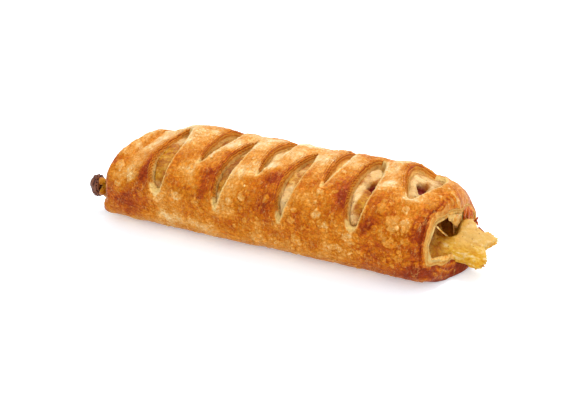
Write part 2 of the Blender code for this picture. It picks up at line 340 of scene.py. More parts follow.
def slit_depth(across, along, slit):
    """How deep the slit is pressed in, in millimetres."""
    full = SLIT_DEPTH if slit[4] > NARROW_SLIT else SHALLOW_DEPTH
    floor = np.where(across < 0.0, LEFT_FLANK[0], RIGHT_FLANK[0])
    rise = np.where(across < 0.0, LEFT_FLANK[1], RIGHT_FLANK[1])
    rounded = ease(np.sin(math.pi * np.clip(along, 0.0, 1.0)) / POINTED_END)
    return full * (1.0 - ease((np.abs(across) - floor) / rise)) * rounded


def slit_swelling(x, share, slit):
    """How much the dough swells beside the slit, from 0 to 1."""
    low_x, low, high_x, high, half_width, _ = slit
    along = (share - low) / (high - low)
    sideways = (x - low_x - (high_x - low_x) * along) / (half_width + LIP_AWAY)
    past_end = np.maximum(np.abs(along - 0.5) - LIP_REACH, 0.0) * END_STRETCH
    return bump_at(np.hypot(sideways, past_end), 1.0, LIP_SPREAD)


# %% [markdown]
# All that depends on the slits is gathered in one call: the depth of the cut, which flank a point is on,
# and how near it is to a slit's edge. The skin browns most along the left edge, because it stands proud
# there, and stays pale in a thin line along the right edge and round the low end, where the cut face was
# turned up.

# %% What the slits do at each place
FAR = 9.0                                   # mm, what counts as beyond all slits
LOW_END = 0.13                              # share of a slit's length that is its low end
SEEN_EDGE = (0.52, 0.40)                    # middle and reach of the part of a left edge whose layers show
LIP_WIDTH = 1.0


def at_slits(x, share):
    """Depth of cut, flank, from -1 at the left to 1 at the right, swelling, nearness to the left edge and
    to the pale lip, and millimetres beyond the left edge.
    """
    depth, flank, swell, left_edge, pale_lip = (np.zeros_like(x) for _ in range(5))
    beyond = np.full_like(x, FAR)
    for slit in FRONT_SLITS + BACK_SLITS:
        across, along, width = slit_place(x, share, slit)
        here = slit_depth(across, along, slit)
        low_end = ease((LOW_END - along) / 0.10)
        flank = np.where(here > depth, np.clip(np.sign(across) + 2.0 * low_end, -1.0, 1.0), flank)
        depth = np.maximum(depth, here)
        swell = np.maximum(swell, slit_swelling(x, share, slit))
        middle = ease(np.sin(math.pi * np.clip(along, 0.0, 1.0)) / 0.7)
        outside = (-across - sum(LEFT_FLANK) + 0.2) * width
        beside = 0.65 * bump_at(outside, 0.0, 1.0) + 0.35 * bump_at(outside, 0.0, 3.6)
        left_edge = np.maximum(left_edge, np.where(across < 0.0, beside * middle, 0.0))
        seen = (across < 0.0) & (np.abs(along - SEEN_EDGE[0]) < SEEN_EDGE[1])
        beyond = np.where(seen, np.minimum(beyond, outside), beyond)
        past_low = np.maximum(-along, 0.0) * (slit[3] - slit[1]) * GIRTH
        off_edge = np.hypot(np.maximum((np.abs(across) - sum(RIGHT_FLANK) + 0.1) * width, 0.0), past_low)
        lip_here = bump_at(off_edge, 0.0, LIP_WIDTH) * np.maximum(across > 0.0, low_end)
        lip_here = np.where((along > -0.15) & (along < 0.94), lip_here, 0.0)
        pale_lip = np.maximum(pale_lip, lip_here)
    return depth, flank, swell, left_edge, pale_lip, beyond


# %% [markdown]
# ## The crust's skin
# A grid is the natural start: its columns run round the log and its rows run along it. The rows lie
# closer together on the front and the top than on the back and the underside. The grid is wrapped round
# the log by moving its points.

# %% A grid wrapped round the log
COLUMNS = 366
LEFT_TURN, RIGHT_TURN = 14, 36              # columns in each turned end
row_shares = np.concatenate([
    np.linspace(-HALF_BASE, 0.0, 9)[:-1],
    np.linspace(0.0, 0.62, 172)[:-1],
    np.linspace(0.62, 1.0, 64)[:-1],
    np.linspace(1.0, 1.0 + HALF_BASE, 9),
])
ROWS = len(row_shares) - 1

crust, flat = grid("puff_pastry_crust", COLUMNS, ROWS)
column = np.rint((flat[:, 0] + 0.5) * COLUMNS).astype(int)
row = np.rint((flat[:, 1] + 0.5) * ROWS).astype(int)
print("grid:", column.max() + 1, "columns,", row.max() + 1, "rows,", len(flat), "points")

# %% [markdown]
# Both ends turn in, where the dough was rolled and cut. The right-hand end turns in most over the top and
# at the base, where the rolled dough makes a lip under the opening.

# %% Turned ends
END_FULLNESS = 0.85
LEFT_RADIUS = 3.4
RIGHT_RADIUS = {
    0: 4.3, 40: 3.8, 75: 5.2, 100: 6.8, 130: 6.0, 180: 4.0, 235: 4.6, 265: 5.0, 285: 5.4, 312: 8.6,
    340: 7.0,
}
ROUNDER_MOUTH = 1.5      # how much of the foot's squareness the right-hand rim loses


def turned_end(phase, radius):
    """How far an end's edge has drawn in and back, from the rim, phase 0, to the plain skin, phase 1."""
    quarter = np.clip(phase, 0.0, 1.0) * math.pi / 2
    drawn_in, drawn_back = 1.0 - np.sin(quarter) ** END_FULLNESS, 1.0 - np.cos(quarter) ** END_FULLNESS
    return radius * drawn_in, radius * drawn_back


share = row_shares[row]
turn = np.degrees(angle_at(share))
left_end, right_end = lookup(LEFT_EDGE, turn, 360.0), lookup(RIGHT_EDGE, turn, 360.0)
right_radius = lookup(RIGHT_RADIUS, turn, 360.0)
left_in, left_back = turned_end(column / LEFT_TURN, LEFT_RADIUS)
right_in, right_back = turned_end((COLUMNS - column) / RIGHT_TURN, right_radius)
plain_part = np.clip((column - LEFT_TURN) / (COLUMNS - LEFT_TURN - RIGHT_TURN), 0.0, 1.0)
x = (left_end + left_back) * (1.0 - plain_part) + (right_end - right_back) * plain_part
end_inset = left_in + right_in
plain, normal = log_surface(x, share, end_inset, end_inset, FOOT - ROUNDER_MOUTH * right_in / right_radius)
cut, flank, swell, left_edge, pale_lip, beyond = at_slits(x, share)
print("plain log:", plain.min(0).round(1), plain.max(0).round(1))

# %% [markdown]
# The dough swells between the slits and is a little uneven all over. The layers that were cut through show
# in the slits and as a pale band just inside each end. At the right-hand end the band also turns out over
# the front as a thin wavy rim, and a shallow groove runs behind it.

# %% Swelling, slits and bands
LOBE_BULGE, LIP_BULGE = 1.3, 0.5            # how far the dough swells between slits and along their edges
PLAIN_EDGE = 0.05                           # share of the girth at each base edge that doesn't swell
UNEVENNESS, WAVE_LENGTH = 0.7, 24.0
FOOT_PLAIN = 6.0                            # height over which the relief fades out towards the base
# How far the rim turns in before the cut layers show, at degrees round the section
BAND_START = {
    0: 0.8, 40: 1.2, 75: 3.4, 100: 5.4, 130: 4.6, 180: 2.6, 235: 3.6, 265: 4.4, 285: 4.7, 312: 7.6,
    340: 4.6,
}
LEFT_BAND_START = 1.6
BAND_CUT = 1.6                              # how fast the band counts as cut
FRONT_RIM = {0: 0.7, 20: 1.0, 65: 1.0, 92: 0.2, 115: 0.0, 300: 0.0, 340: 0.3}
RIM_WIDTH, GROOVE_PLACE, GROOVE_DEPTH = 1.9, 2.9, 0.9

crown = np.sin(math.pi * np.clip((share - PLAIN_EDGE) / (1.0 - 2.0 * PLAIN_EDGE), 0.0, 1.0))
across, along, _ = slit_place(x, share, CREASE)
crease = slit_depth(across, along, CREASE) * CREASE_DEPTH / SHALLOW_DEPTH
bulge = (LOBE_BULGE * crown + LIP_BULGE * swell) * (1.0 - cut / SLIT_DEPTH) - crease
uneven = UNEVENNESS * soft_noise(plain, WAVE_LENGTH)
above_base = ease(plain[:, 2] / FOOT_PLAIN)
right_band = np.maximum(right_in - lookup(BAND_START, turn, 360.0), 0.0)
front_rim = lookup(FRONT_RIM, turn, 360.0)
from_end = right_end - x
band = right_band + np.maximum(left_in - LEFT_BAND_START, 0.0)
band += 0.40 * front_rim * ease((RIM_WIDTH + 0.4 * waves(plain, 5.0, 55.0) - from_end) / 0.6)
rim_groove = front_rim * bump_at(from_end, GROOVE_PLACE, 0.5)
on_skin = (share > 0.0) & (share < 1.0)
end_calm = 1.0 - 0.7 * ease(end_inset / 3.0)
relief = ((bulge + uneven) * end_calm - cut - GROOVE_DEPTH * rim_groove) * above_base
relief = np.where(on_skin, relief, 0.0)
cut_depth = np.where(on_skin, cut * above_base, 0.0) + BAND_CUT * band
print("deepest cut:", round(float(cut_depth.max()), 2), "mm")

# %% [markdown]
# ## Blisters and flakes
# Steam lifts the outer leaf of dough into blisters, and the egg wash breaks up into flakes. The largest
# blisters are listed one by one, as the pastry has them, and many small ones are strewn with a fixed seed.
# Each is an oval with a steep rim and a flat or dimpled top.

# %% Blister places
# X, girth share, half length, half width, tilt in degrees, height, and 1 for a dimpled top
BLISTERS = [
    (51.8, 0.333, 1.4, 1.1, 0, 0.35, 0), (52.0, 0.309, 2.4, 1.9, 60, 0.50, 0),
    (55.1, 0.333, 1.0, 0.8, 0, 0.30, 0), (57.5, 0.285, 3.0, 2.0, 30, 0.45, 0),
    (58.9, 0.267, 2.6, 1.3, 30, 0.45, 0), (63.2, 0.288, 2.4, 2.7, 80, 0.50, 1),
    (61.1, 0.330, 1.6, 1.6, 0, 0.35, 1), (58.7, 0.224, 3.6, 2.0, 30, 0.55, 0),
    (64.6, 0.245, 2.2, 1.3, 10, 0.40, 0), (68.6, 0.239, 2.0, 2.2, 0, 0.40, 0),
    (55.8, 0.158, 1.0, 1.4, 80, 0.30, 0), (61.8, 0.179, 3.0, 2.0, -20, 0.35, 0),
    (71.9, 0.161, 2.6, 1.7, -25, 0.60, 0), (70.4, 0.173, 1.6, 1.2, 0, 0.40, 0),
    (70.6, 0.373, 4.0, 1.6, 35, 0.45, 0), (72.0, 0.427, 2.0, 1.4, 20, 0.40, 0),
    (74.8, 0.455, 1.6, 1.2, 10, 0.45, 0), (76.0, 0.500, 1.8, 1.3, -20, 0.45, 0),
    (70.3, 0.336, 2.8, 1.0, 35, 0.40, 0), (49.5, 0.579, 1.8, 1.0, -20, 0.30, 0),
    (51.3, 0.245, 4.0, 1.8, 30, 0.35, 0), (55.0, 0.236, 2.2, 1.0, 0, 0.30, 0),
    (65.8, 0.164, 2.6, 1.4, 30, 0.35, 0), (24.0, 0.258, 2.0, 2.0, 0, 0.40, 1),
    (13.5, 0.224, 1.5, 2.1, 80, 0.45, 0), (29.2, 0.233, 1.4, 1.8, 80, 0.40, 0),
    (31.5, 0.261, 1.3, 1.1, 0, 0.35, 1), (32.7, 0.161, 2.2, 1.5, 20, 0.40, 1),
    (15.9, 0.158, 3.0, 2.2, -50, 0.35, 0), (40.3, 0.200, 2.6, 3.0, 60, 0.30, 0),
    (-5.6, 0.230, 0.8, 1.0, 0, 0.30, 0), (-8.6, 0.188, 1.4, 1.6, 80, 0.35, 0),
    (-11.1, 0.264, 1.6, 2.0, 70, 0.40, 0), (0.7, 0.276, 1.5, 1.8, 60, 0.35, 0),
    (29.5, 0.342, 1.5, 1.0, 20, 0.30, 0), (22.9, 0.330, 1.8, 1.4, -20, 0.30, 0),
    (22.9, 0.294, 1.2, 0.8, 0, 0.25, 0), (14.3, 0.255, 1.0, 1.4, 70, 0.35, 0),
    (19.9, 0.212, 0.8, 0.8, 0, 0.30, 0), (-2.9, 0.206, 0.8, 1.2, 70, 0.30, 0),
    (-76.5, 0.309, 3.0, 2.0, -60, 0.35, 0), (-67.2, 0.273, 2.6, 3.4, -60, 0.45, 0),
    (-74.4, 0.239, 2.0, 1.4, 0, 0.30, 1), (-61.8, 0.210, 2.2, 1.6, -30, 0.35, 0),
    (-42.9, 0.224, 2.8, 2.2, -20, 0.45, 1), (-33.2, 0.221, 1.8, 2.2, 40, 0.45, 0),
    (-29.9, 0.196, 2.2, 1.2, -40, 0.35, 0), (-16.5, 0.242, 1.5, 2.0, 80, 0.30, 0),
    (-50.9, 0.536, 1.6, 1.2, 0, 0.30, 0), (-77.8, 0.364, 1.2, 0.7, 0, 0.30, 0),
    (-56.7, 0.175, 2.0, 0.8, -50, 0.20, 0),
]

# %% Small blisters, strewn by chance
BLISTER_COUNT = 300
ALL_ALONG, ALL_ROUND = (-82.0, 76.0), (0.03, 0.97)
chance = np.random.default_rng(7)
while len(BLISTERS) < BLISTER_COUNT:
    place_x, place_share = chance.uniform(*ALL_ALONG), chance.uniform(*ALL_ROUND)
    crowd = 0.35 + 0.65 * float(ease((place_x + 40.0) / 70.0))      # more of them towards the right
    if 0.40 < place_share < 0.62:                                   # and fewer on top
        crowd *= 0.45
    if chance.random() < crowd:
        size = math.exp(chance.uniform(math.log(0.45), math.log(1.7)))
        BLISTERS.append((
            place_x, place_share, size, size * chance.uniform(0.55, 1.0), chance.uniform(0.0, 180.0),
            0.10 + 0.14 * size, int(chance.random() < 0.2),
        ))
print(len(BLISTERS), "blisters")


# %% Raising the blisters
BLISTER_REACH = 6.0      # mm, past which a blister does nothing
BLISTER_RISE = 1.30


def raise_blisters(x, share, rough):
    """Height of the blisters, where they are and where their rims are, from 0 to 1."""
    height, covered, edge = np.zeros_like(x), np.zeros_like(x), np.zeros_like(x)
    for place_x, place_share, length, width, tilt, tall, dimpled in BLISTERS:
        near = np.maximum(np.abs(x - place_x), np.abs(share - place_share) * GIRTH) < BLISTER_REACH
        dx, dy = x[near] - place_x, (share[near] - place_share) * GIRTH
        turn_to = math.radians(tilt)
        lengthwise = (dx * math.cos(turn_to) + dy * math.sin(turn_to)) / length
        crosswise = (dy * math.cos(turn_to) - dx * math.sin(turn_to)) / width
        away = np.hypot(lengthwise, crosswise) + 0.34 * rough[near]
        top = ease((1.12 - away) / 0.30)
        dimple = 0.55 * dimpled * ease((0.62 - away) / 0.35)
        domed = BLISTER_RISE * tall * top * (1.0 - dimple) * (1.0 - 0.15 * away)
        height[near] = np.maximum(height[near], domed)
        covered[near] = np.maximum(covered[near], top * (1.0 - 0.8 * dimple))
        edge[near] = np.maximum(edge[near], bump_at((away - 1.18) * min(length, width), 0.0, 0.42))
    return height, covered, edge * (1.0 - covered)


blister_height, blister, blister_edge = raise_blisters(x, share, waves(plain, 1.7, 3.0))
uncut = 1.0 - ease((cut_depth - 0.15) / 0.5)
blister *= uncut * on_skin
print("share of the skin under blisters:", round(float(blister.mean()), 3))

# %% [markdown]
# Broken leaves of dough leave low, sharp steps, like the coast lines on a map. They come from the contour
# lines of smooth noise. Fine wrinkles lie between them, and the cut faces get ledges that follow the
# layers of the dough.

# %% Steps, wrinkles and ledges
LEVELS = (-0.45, -0.05, 0.35, 0.7)
STEP_HEIGHT = 0.16
ALL_STEPS = len(LEVELS) * STEP_HEIGHT
coast = waves(plain, 8.0, 11.0) + 0.35 * waves(plain, 2.6, 17.0)
steps = sum(ease((coast - level) / 0.10) for level in LEVELS) * STEP_HEIGHT
wrinkles = 0.10 * waves(plain, (2.4, 1.2, 1.2), 5.0) + 0.06 * waves(plain, (1.1, 1.1, 1.1), 9.0)
skin_relief = (blister_height + steps - 0.65 + wrinkles) * uncut * ease((plain[:, 2] - 0.4) / 2.0)
LAYER = 1.15             # mm from one baked layer to the next
lines = ripple(beyond / LAYER + 0.35 * waves(plain, 8.0, 33.0))
beside_slit = bump_at(np.maximum(beyond, 0.0), 0.0, 2.2) * (beyond < 6.0) * uncut
ledge = ripple(cut_depth / LAYER + 0.22 * waves(plain, 9.0, 21.0))
on_ledge = ease((cut_depth - 0.25) / 0.5) * (1.0 - ease((cut_depth - 3.2) / 1.0)) * above_base

# %% The folded lip under the right-hand opening, and all relief
lip = ease((x - 72.0) / 5.0) * ease((12.0 - plain[:, 2]) / 4.0) * on_skin
grooves = 0.35 * lip * ripple(end_inset / 2.1 + 0.3 * waves(plain, 7.0, 51.0))
all_relief = relief + np.where(on_skin, skin_relief, 0.0) + grooves * (1.0 - ease((cut_depth - 0.2) / 0.5))
outer = plain + normal * all_relief[:, None]
ragged_rim = ease((right_in - 1.2) / 1.5) * ease((x - 60.0) / 6.0)
outer[:, 0] -= ragged_rim * (0.25 + 0.35 * waves(plain, 3.4, 57.0) + 0.10 * waves(plain, 1.5, 59.0))
flake = bump_at((share - 0.105) * GIRTH, 0.0, 4.0) * ease((-80.0 - x) / 4.0)
outer[:, 0] -= flake * (0.8 + 0.9 * waves(plain, 2.2, 53.0))
outer += normal * (0.16 * lines * beside_slit)[:, None]
outer[:, 0] -= flank * on_ledge * 0.34 * ledge * (cut > 0.05)
outer += normal * (0.12 * waves(plain, 1.3, 31.0) * ease((cut_depth - 1.5) / 1.5))[:, None]
low, high = np.array(cad_box[0]) / MM + HAIR, np.array(cad_box[1]) / MM - HAIR
outer[:, 1:] = np.clip(outer[:, 1:], low[1:], high[1:])
outer[:, 2] = np.where(share <= 0.0, np.maximum(outer[:, 2], 0.0), outer[:, 2])
print("skin box:", outer.min(0).round(1), outer.max(0).round(1))

# %% [markdown]
# ## Browning
# How brown the crust is at each point is one number, from pale, 0, to dark, 1. It is high beside the slits
# and at the ends, low in the lower folds, and varies in patches. It also holds painted light: it is lowered
# along the top, as if lit from above, and raised in the crease and low on the right-hand lip, as painted
# shade. The material turns it into colour.

# %% Browning of the skin
# X, girth share, half length, half width, amount
BROWN_PATCHES = [
    (-74.6, 0.188, 11, 6, 0.64), (-61.9, 0.300, 3, 8, 0.50), (-31.8, 0.321, 3, 3, 0.45),
    (-29.8, 0.261, 3, 6, 0.40), (-45.2, 0.270, 3, 2, 0.30), (-39.5, 0.255, 5, 2, 0.30),
    (-70.9, 0.136, 9, 4, 0.38), (-59.0, 0.218, 3, 3, 0.20), (-51.8, 0.597, 4, 3, 0.40),
    (-61.0, 0.255, 3, 4, 0.25), (0.0, 0.355, 2.5, 5, 0.45), (-1.1, 0.248, 5, 4, 0.40),
    (1.9, 0.239, 3, 4, 0.30), (-12.5, 0.324, 3, 2, 0.20), (31.3, 0.394, 4, 4, 0.40),
    (33.1, 0.318, 3, 5, 0.40), (50.9, 0.376, 4, 2.5, 0.25), (50.7, 0.273, 3, 4, 0.20),
    (46.1, 0.245, 5, 3, 0.25), (54.5, 0.206, 9, 5, 0.30), (17.7, 0.236, 5, 3, 0.15),
    (-1.8, 0.342, 4, 3, 0.20), (14.5, 0.621, 4, 3, 0.35), (-17.5, 0.661, 4, 3, 0.35),
    (30.8, 0.621, 4, 3, 0.35), (50.4, 0.555, 2, 5, 0.45), (69.6, 0.285, 3, 6, 0.35),
    (66.2, 0.297, 4, 4, 0.20), (73.4, 0.124, 6, 3, 0.45), (80.1, 0.050, 6, 4, 0.45),
    (72.6, 0.561, 7, 4, 0.30), (77.9, 0.570, 4, 3, 0.30), (67.9, 0.248, 3, 5, 0.25),
    (72.0, 0.470, 4, 4, 0.25), (66.0, 0.120, 9, 9, 0.60), (57.0, 0.050, 8, 5, 0.50),
    (45.0, 0.120, 10, 6, 0.25), (73.0, 0.060, 6, 5, 0.22), (38.0, 0.075, 12, 4, 0.25),
    (20.0, 0.200, 9, 5, 0.15), (23.5, 0.360, 5, 5, 0.30), (13.0, 0.400, 3, 6, 0.25),
    (-25.0, 0.170, 14, 6, 0.12), (6.0, 0.130, 14, 7, 0.14),
]
PALE_PATCHES = [
    (-62.1, 0.620, 8, 4, 0.40), (-71.9, 0.433, 8, 3, 0.20), (-44.1, 0.139, 10, 4, 0.30),
    (-41.3, 0.324, 5, 4, 0.25), (-78.4, 0.376, 4, 3, 0.30), (-33.3, 0.488, 8, 3, 0.30),
    (-69.6, 0.276, 6, 6, 0.20), (-32.4, 0.130, 12, 3, 0.20), (-1.5, 0.640, 12, 4, 0.40),
    (-6.4, 0.409, 8, 3, 0.30), (-14.4, 0.358, 6, 4, 0.30), (17.5, 0.315, 8, 3, 0.12),
    (12.8, 0.518, 5, 4, 0.25), (48.9, 0.422, 3.5, 4.5, 0.45), (17.9, 0.142, 5, 4, 0.20),
    (37.5, 0.152, 8, 3, 0.15), (-4.1, 0.121, 12, 3, 0.08), (62.2, 0.376, 6, 2, 0.20),
    (60.3, 0.206, 5, 3, 0.10), (65.8, 0.170, 4, 3, 0.15), (-38.5, 0.270, 5, 5, 0.22),
    (-14.0, 0.290, 5, 5, 0.22), (70.5, 0.085, 3, 2.5, 0.30), (76.0, 0.140, 3, 2, 0.25),
]


# %% Adding up the browning
def patches(x, share, rows):
    """The sum of soft oval patches."""
    total = np.zeros_like(x)
    for place_x, place_share, length, width, amount in rows:
        along, around = (x - place_x) / length, (share - place_share) * GIRTH / width
        total += amount * np.exp(-along ** 2 - around ** 2)
    return total


MEAN_BAKE = 0.555
# Painted light: the top is made paler, as if lit from above.
painted_top_light = 0.30 * bump_at(share, 0.54, 0.13)
low_pale = 0.12 * bump_at(share, 0.06, 0.05)
base_line = 0.75 * (1.0 - ease((share + 0.003) / 0.034)) + 0.40 * ease((share - 0.983) / 0.022)
bake = MEAN_BAKE - painted_top_light - low_pale + base_line
bake += 0.30 * left_edge * (1.0 + 0.6 * waves(plain, 6.0, 39.0))
# The crease term is painted shade: darker where the crease dips.
bake += 0.62 * patches(x, share, BROWN_PATCHES) - 0.8 * patches(x, share, PALE_PATCHES) + 0.10 * crease
# The first term is painted shade: darker on the lowest few millimetres of the right-hand end, under the
# lip.
bake += 0.35 * ease((x - 74.0) / 4.0) * ease((3.5 - plain[:, 2]) / 3.0) + 0.4 * flake
bake += 0.14 * waves(plain, 13.0, 41.0) + 0.08 * waves(plain, 4.5, 43.0) + 0.03 * waves(plain, 1.6, 47.0)
bake += (
    0.12 * ease((x - 62.0) / 8.0) + 0.12 * (0.5 - steps / ALL_STEPS)
    + 0.10 * blister_edge - 0.30 * pale_lip
)
bake += 0.30 * rim_groove + 0.5 * grooves
print("browning, mean and spread:", round(float(bake.mean()), 2), round(float(bake.std()), 2))

# %% [markdown]
# ## Openings and thickness
# Where a slit goes right through the wall, the grid's faces are deleted. Solidify then gives the shell an
# inner side, point for point, which is moved to the hollow's wall. No dark gap shows, because the cut
# faces reach a little under the filling's surface.

# %% Open the slits and give the crust its wall
set_points(crust, outer)
OPEN_DEPTH = 5.1         # mm, the cut at which a slit has gone through the wall
kept_values = {
    "bake": bake, "cut": cut_depth, "flank": flank, "blister": blister, "share": share, "inset": end_inset,
    "beyond": beyond, "lip": pale_lip, "plain_x": x,
    "normal_x": normal[:, 0], "normal_y": normal[:, 1], "normal_z": normal[:, 2],
}
for name, values in kept_values.items():
    set_value(crust, name, values)

corners = corners_of(crust).reshape(-1, 4)
through = ((cut > OPEN_DEPTH) & (share > PLAIN_EDGE))[corners].all(axis=1)
open_faces(crust, through)
bpy.ops.mesh.delete(type="FACE")
close_up(0.00002, outwards=True)
shell_points = len(crust.data.vertices)
apply_modifier(crust, "SOLIDIFY", thickness=0.001, offset=-1.0, use_rim=True)
print("shell:", shell_points, "points, with its wall:", len(crust.data.vertices))

# %% Move the inner side to the hollow's wall
points = get_points(crust)
inner_side = np.arange(len(points)) >= shell_points
depth_here = get_value(crust, "cut")
share_here = get_value(crust, "share")
normal_here = np.stack([get_value(crust, "normal_" + axis) for axis in "xyz"], axis=1)
plain_x, inset_here = get_value(crust, "plain_x"), get_value(crust, "inset")
RIM_THICKNESS = 0.9
THIN_CUT = 0.5           # mm of dough left under a slit
behind_rim = np.where(inset_here > 0.01, inset_here + RIM_THICKNESS, 0.0)
wall, base_wall = np.maximum(WALL, behind_rim), np.maximum(BASE_WALL, behind_rim)
hollow, _ = log_surface(plain_x, share_here, wall, base_wall, lookup(CORNER_FEET, plain_x))
outer_twin = points.copy()
outer_twin[inner_side] = points[:shell_points]
under_slit = outer_twin - normal_here * THIN_CUT
deep = ease((depth_here - WALL + 0.9) / 0.5)[:, None]
target = hollow * (1.0 - deep) + under_slit * deep
target[:, 0] = outer_twin[:, 0]
points[inner_side] = target[inner_side]
set_points(crust, points)
set_value(crust, "inside", inner_side)
print("inner side:", int(inner_side.sum()), "points")

# %% [markdown]
# The inner side is hidden by the filling except near the openings, so its faces are thinned there and kept
# where they show.

# %% Thin the hidden inner side
def inner_faces(from_x, to_x):
    """Flags for the faces of the inner side between two places along X."""
    starts = np.empty(len(crust.data.polygons), int)
    crust.data.polygons.foreach_get("loop_start", starts)
    along = get_points(crust)[:, 0]
    wanted = (get_value(crust, "inside") > 0.99) & (along >= from_x) & (along < to_x)
    return np.minimum.reduceat(wanted[corners_of(crust)].astype(int), starts) > 0


# From and to along X, and the share of the faces that is kept
for from_x, to_x, kept in ((-100.0, 60.0, 0.05), (60.0, 100.0, 0.35)):
    open_faces(crust, inner_faces(from_x, to_x))
    bpy.ops.mesh.decimate(ratio=kept)
    bpy.ops.object.mode_set(mode="OBJECT")
print("crust faces:", len(crust.data.polygons))

# %% [markdown]
# ## Node helpers
# A material is a tree of nodes. One short helper adds a node, sets its options and joins its inputs. The
# helpers work on the tree and the shader of the newest material. Colours are given as they look on
# screen, as red, green and blue from 0 to 255, and turned into linear light.

# %% Helpers for materials
LIGHT_GAIN = 1.17        # how much brighter the light here makes a surface
HAZE = 0.018             # the sheen that it adds
UPRIGHT = (1.0, 1.0, 0.2)                # scale that stretches a texture along Z


def as_seen(red, green, blue):
    """The surface colour that looks like this on screen, 0 to 255, in the light here."""
    values = [channel / 255.0 for channel in (red, green, blue)]
    values = [v / 12.92 if v <= 0.04045 else ((v + 0.055) / 1.055) ** 2.4 for v in values]
    return (*(min(max(value - HAZE, 0.0) / LIGHT_GAIN, 0.92) for value in values), 1.0)


# %% Adding and joining nodes
def new_material(name):
    """A new material, its tree of nodes and its shader."""
    material = bpy.data.materials.new(name)
    material.use_nodes = True
    return material, material.node_tree, material.node_tree.nodes["Principled BSDF"]


def fill(node, inputs):
    """Fill a node's inputs, each with a number, a colour or the socket that it is joined to."""
    for name, value in inputs.items():
        if isinstance(value, bpy.types.NodeSocket):
            tree.links.new(value, node.inputs[name])
        else:
            node.inputs[name].default_value = value


def add(kind, inputs=None, **options):
    """Add a node with its options and inputs."""
    made = tree.nodes.new("ShaderNode" + kind)
    for name, value in options.items():
        setattr(made, name, value)
    fill(made, inputs or {})
    return made


def value_of(name):
    """A number kept on the mesh."""
    return add("Attribute", attribute_name=name).outputs["Fac"]


# %% Numbers and colours in nodes
def maths(operation, first, second=0.0, third=0.0, clamp=False):
    """The result of one operation."""
    return add("Math", {0: first, 1: second, 2: third}, operation=operation, use_clamp=clamp).outputs[0]


def spread(value, low, high, to_low=0.0, to_high=1.0):
    """Spread a value from one range over another, smoothly."""
    inputs = {"Value": value, "From Min": low, "From Max": high, "To Min": to_low, "To Max": to_high}
    return add("MapRange", inputs, interpolation_type="SMOOTHSTEP").outputs["Result"]


def ramp(value, stops):
    """Colours along a value. A stop is a position and the red, green and blue there."""
    made = add("ValToRGB", {"Fac": value})
    elements = made.color_ramp.elements
    while len(elements) < len(stops):
        elements.new(0.5)
    for element, (position, *seen) in zip(elements, stops):
        element.position = position
        element.color = as_seen(*seen)
    return made.outputs["Color"]


def blend(share, first, second):
    """Mix two colours. The share is that of the second one."""
    return add("Mix", {0: share, 6: first, 7: second}, data_type="RGBA").outputs[2]


# %% Textures and surface
def grain(where, size, detail=3.0, roughness=0.55, distortion=0.0):
    """Noise whose lumps are about so many millimetres wide."""
    return add("TexNoise", {
        "Vector": where, "Scale": 1.0 / (size * MM), "Detail": detail, "Roughness": roughness,
        "Distortion": distortion,
    }).outputs["Fac"]


def turned(where, scale, turn=0.0):
    """A place for a texture, stretched along some axes and turned about Z."""
    return add("Mapping", {"Vector": where, "Rotation": (0.0, 0.0, turn), "Scale": scale}).outputs["Vector"]


def fine_relief(height, strength, distance):
    """Fine relief on the shader, so many metres high."""
    bump = add("Bump", {"Height": height, "Strength": strength, "Distance": distance})
    fill(shader, {"Normal": bump.outputs["Normal"]})


def soften(weight, radius, scale, specular):
    """Light that goes a little way into the piece, and how strongly its surface mirrors."""
    fill(shader, {
        "Subsurface Weight": weight, "Subsurface Radius": radius, "Subsurface Scale": scale,
        "Specular IOR Level": specular,
    })


# %% [markdown]
# ## Baked crust
# The skin's colour runs from pale gold over orange to dark brown as it bakes, broken up by fine grain and
# by fibres, which run round the roll on top and along it lower down. Cut faces run from browned outer
# layers to pale inner dough, with streaks along the layers. The egg wash gives a thin gloss. The inner
# side gets painted light: a weak glow that brightens it where the filling and the wall shade it.

# %% The crust's material
crust_material, tree, shader = new_material("baked_puff_pastry")
where = add("TexCoord").outputs["Object"]
patchy = grain(where, 3.4, 5.0, 0.62, 0.4)
flaky = grain(where, 1.5, 5.0, 0.68, 0.8)
speckled = grain(where, 0.7, 3.0, 0.6)
fold_place = add("CombineXYZ", {
    "X": maths("MULTIPLY", value_of("plain_x"), MM),
    "Y": maths("MULTIPLY", value_of("share"), 0.3 * GIRTH * MM),
}).outputs["Vector"]
round_fibres = grain(fold_place, 1.2, 4.0, 0.6, 0.6)
long_fibres = grain(turned(where, (0.45, 1.0, 1.0), 0.25), 1.2, 4.0, 0.6, 0.6)
from_top = maths("ABSOLUTE", maths("SUBTRACT", value_of("share"), 0.5))
on_top = spread(from_top, 0.30, 0.16)
fibrous = maths("MULTIPLY_ADD", on_top, maths("SUBTRACT", round_fibres, long_fibres), long_fibres)
browned = maths("MULTIPLY_ADD", patchy, 0.22, maths("SUBTRACT", value_of("bake"), 0.11))
for texture, low_value, high_value, amount in (
    (flaky, 0.40, 0.60, 0.11), (speckled, 0.36, 0.62, 0.11), (fibrous, 0.38, 0.62, 0.14),
):
    browned = maths("ADD", browned, spread(texture, low_value, high_value, -amount / 2, amount / 2))
browned = maths("MULTIPLY_ADD", value_of("blister"), -0.17, browned, clamp=True)
skin_colour = ramp(browned, [
    (0.00, 253, 228, 184), (0.18, 248, 206, 142), (0.36, 236, 166, 84),
    (0.54, 219, 135, 46), (0.70, 202, 110, 30), (0.85, 182, 86, 22),
    (1.00, 150, 62, 18),
])
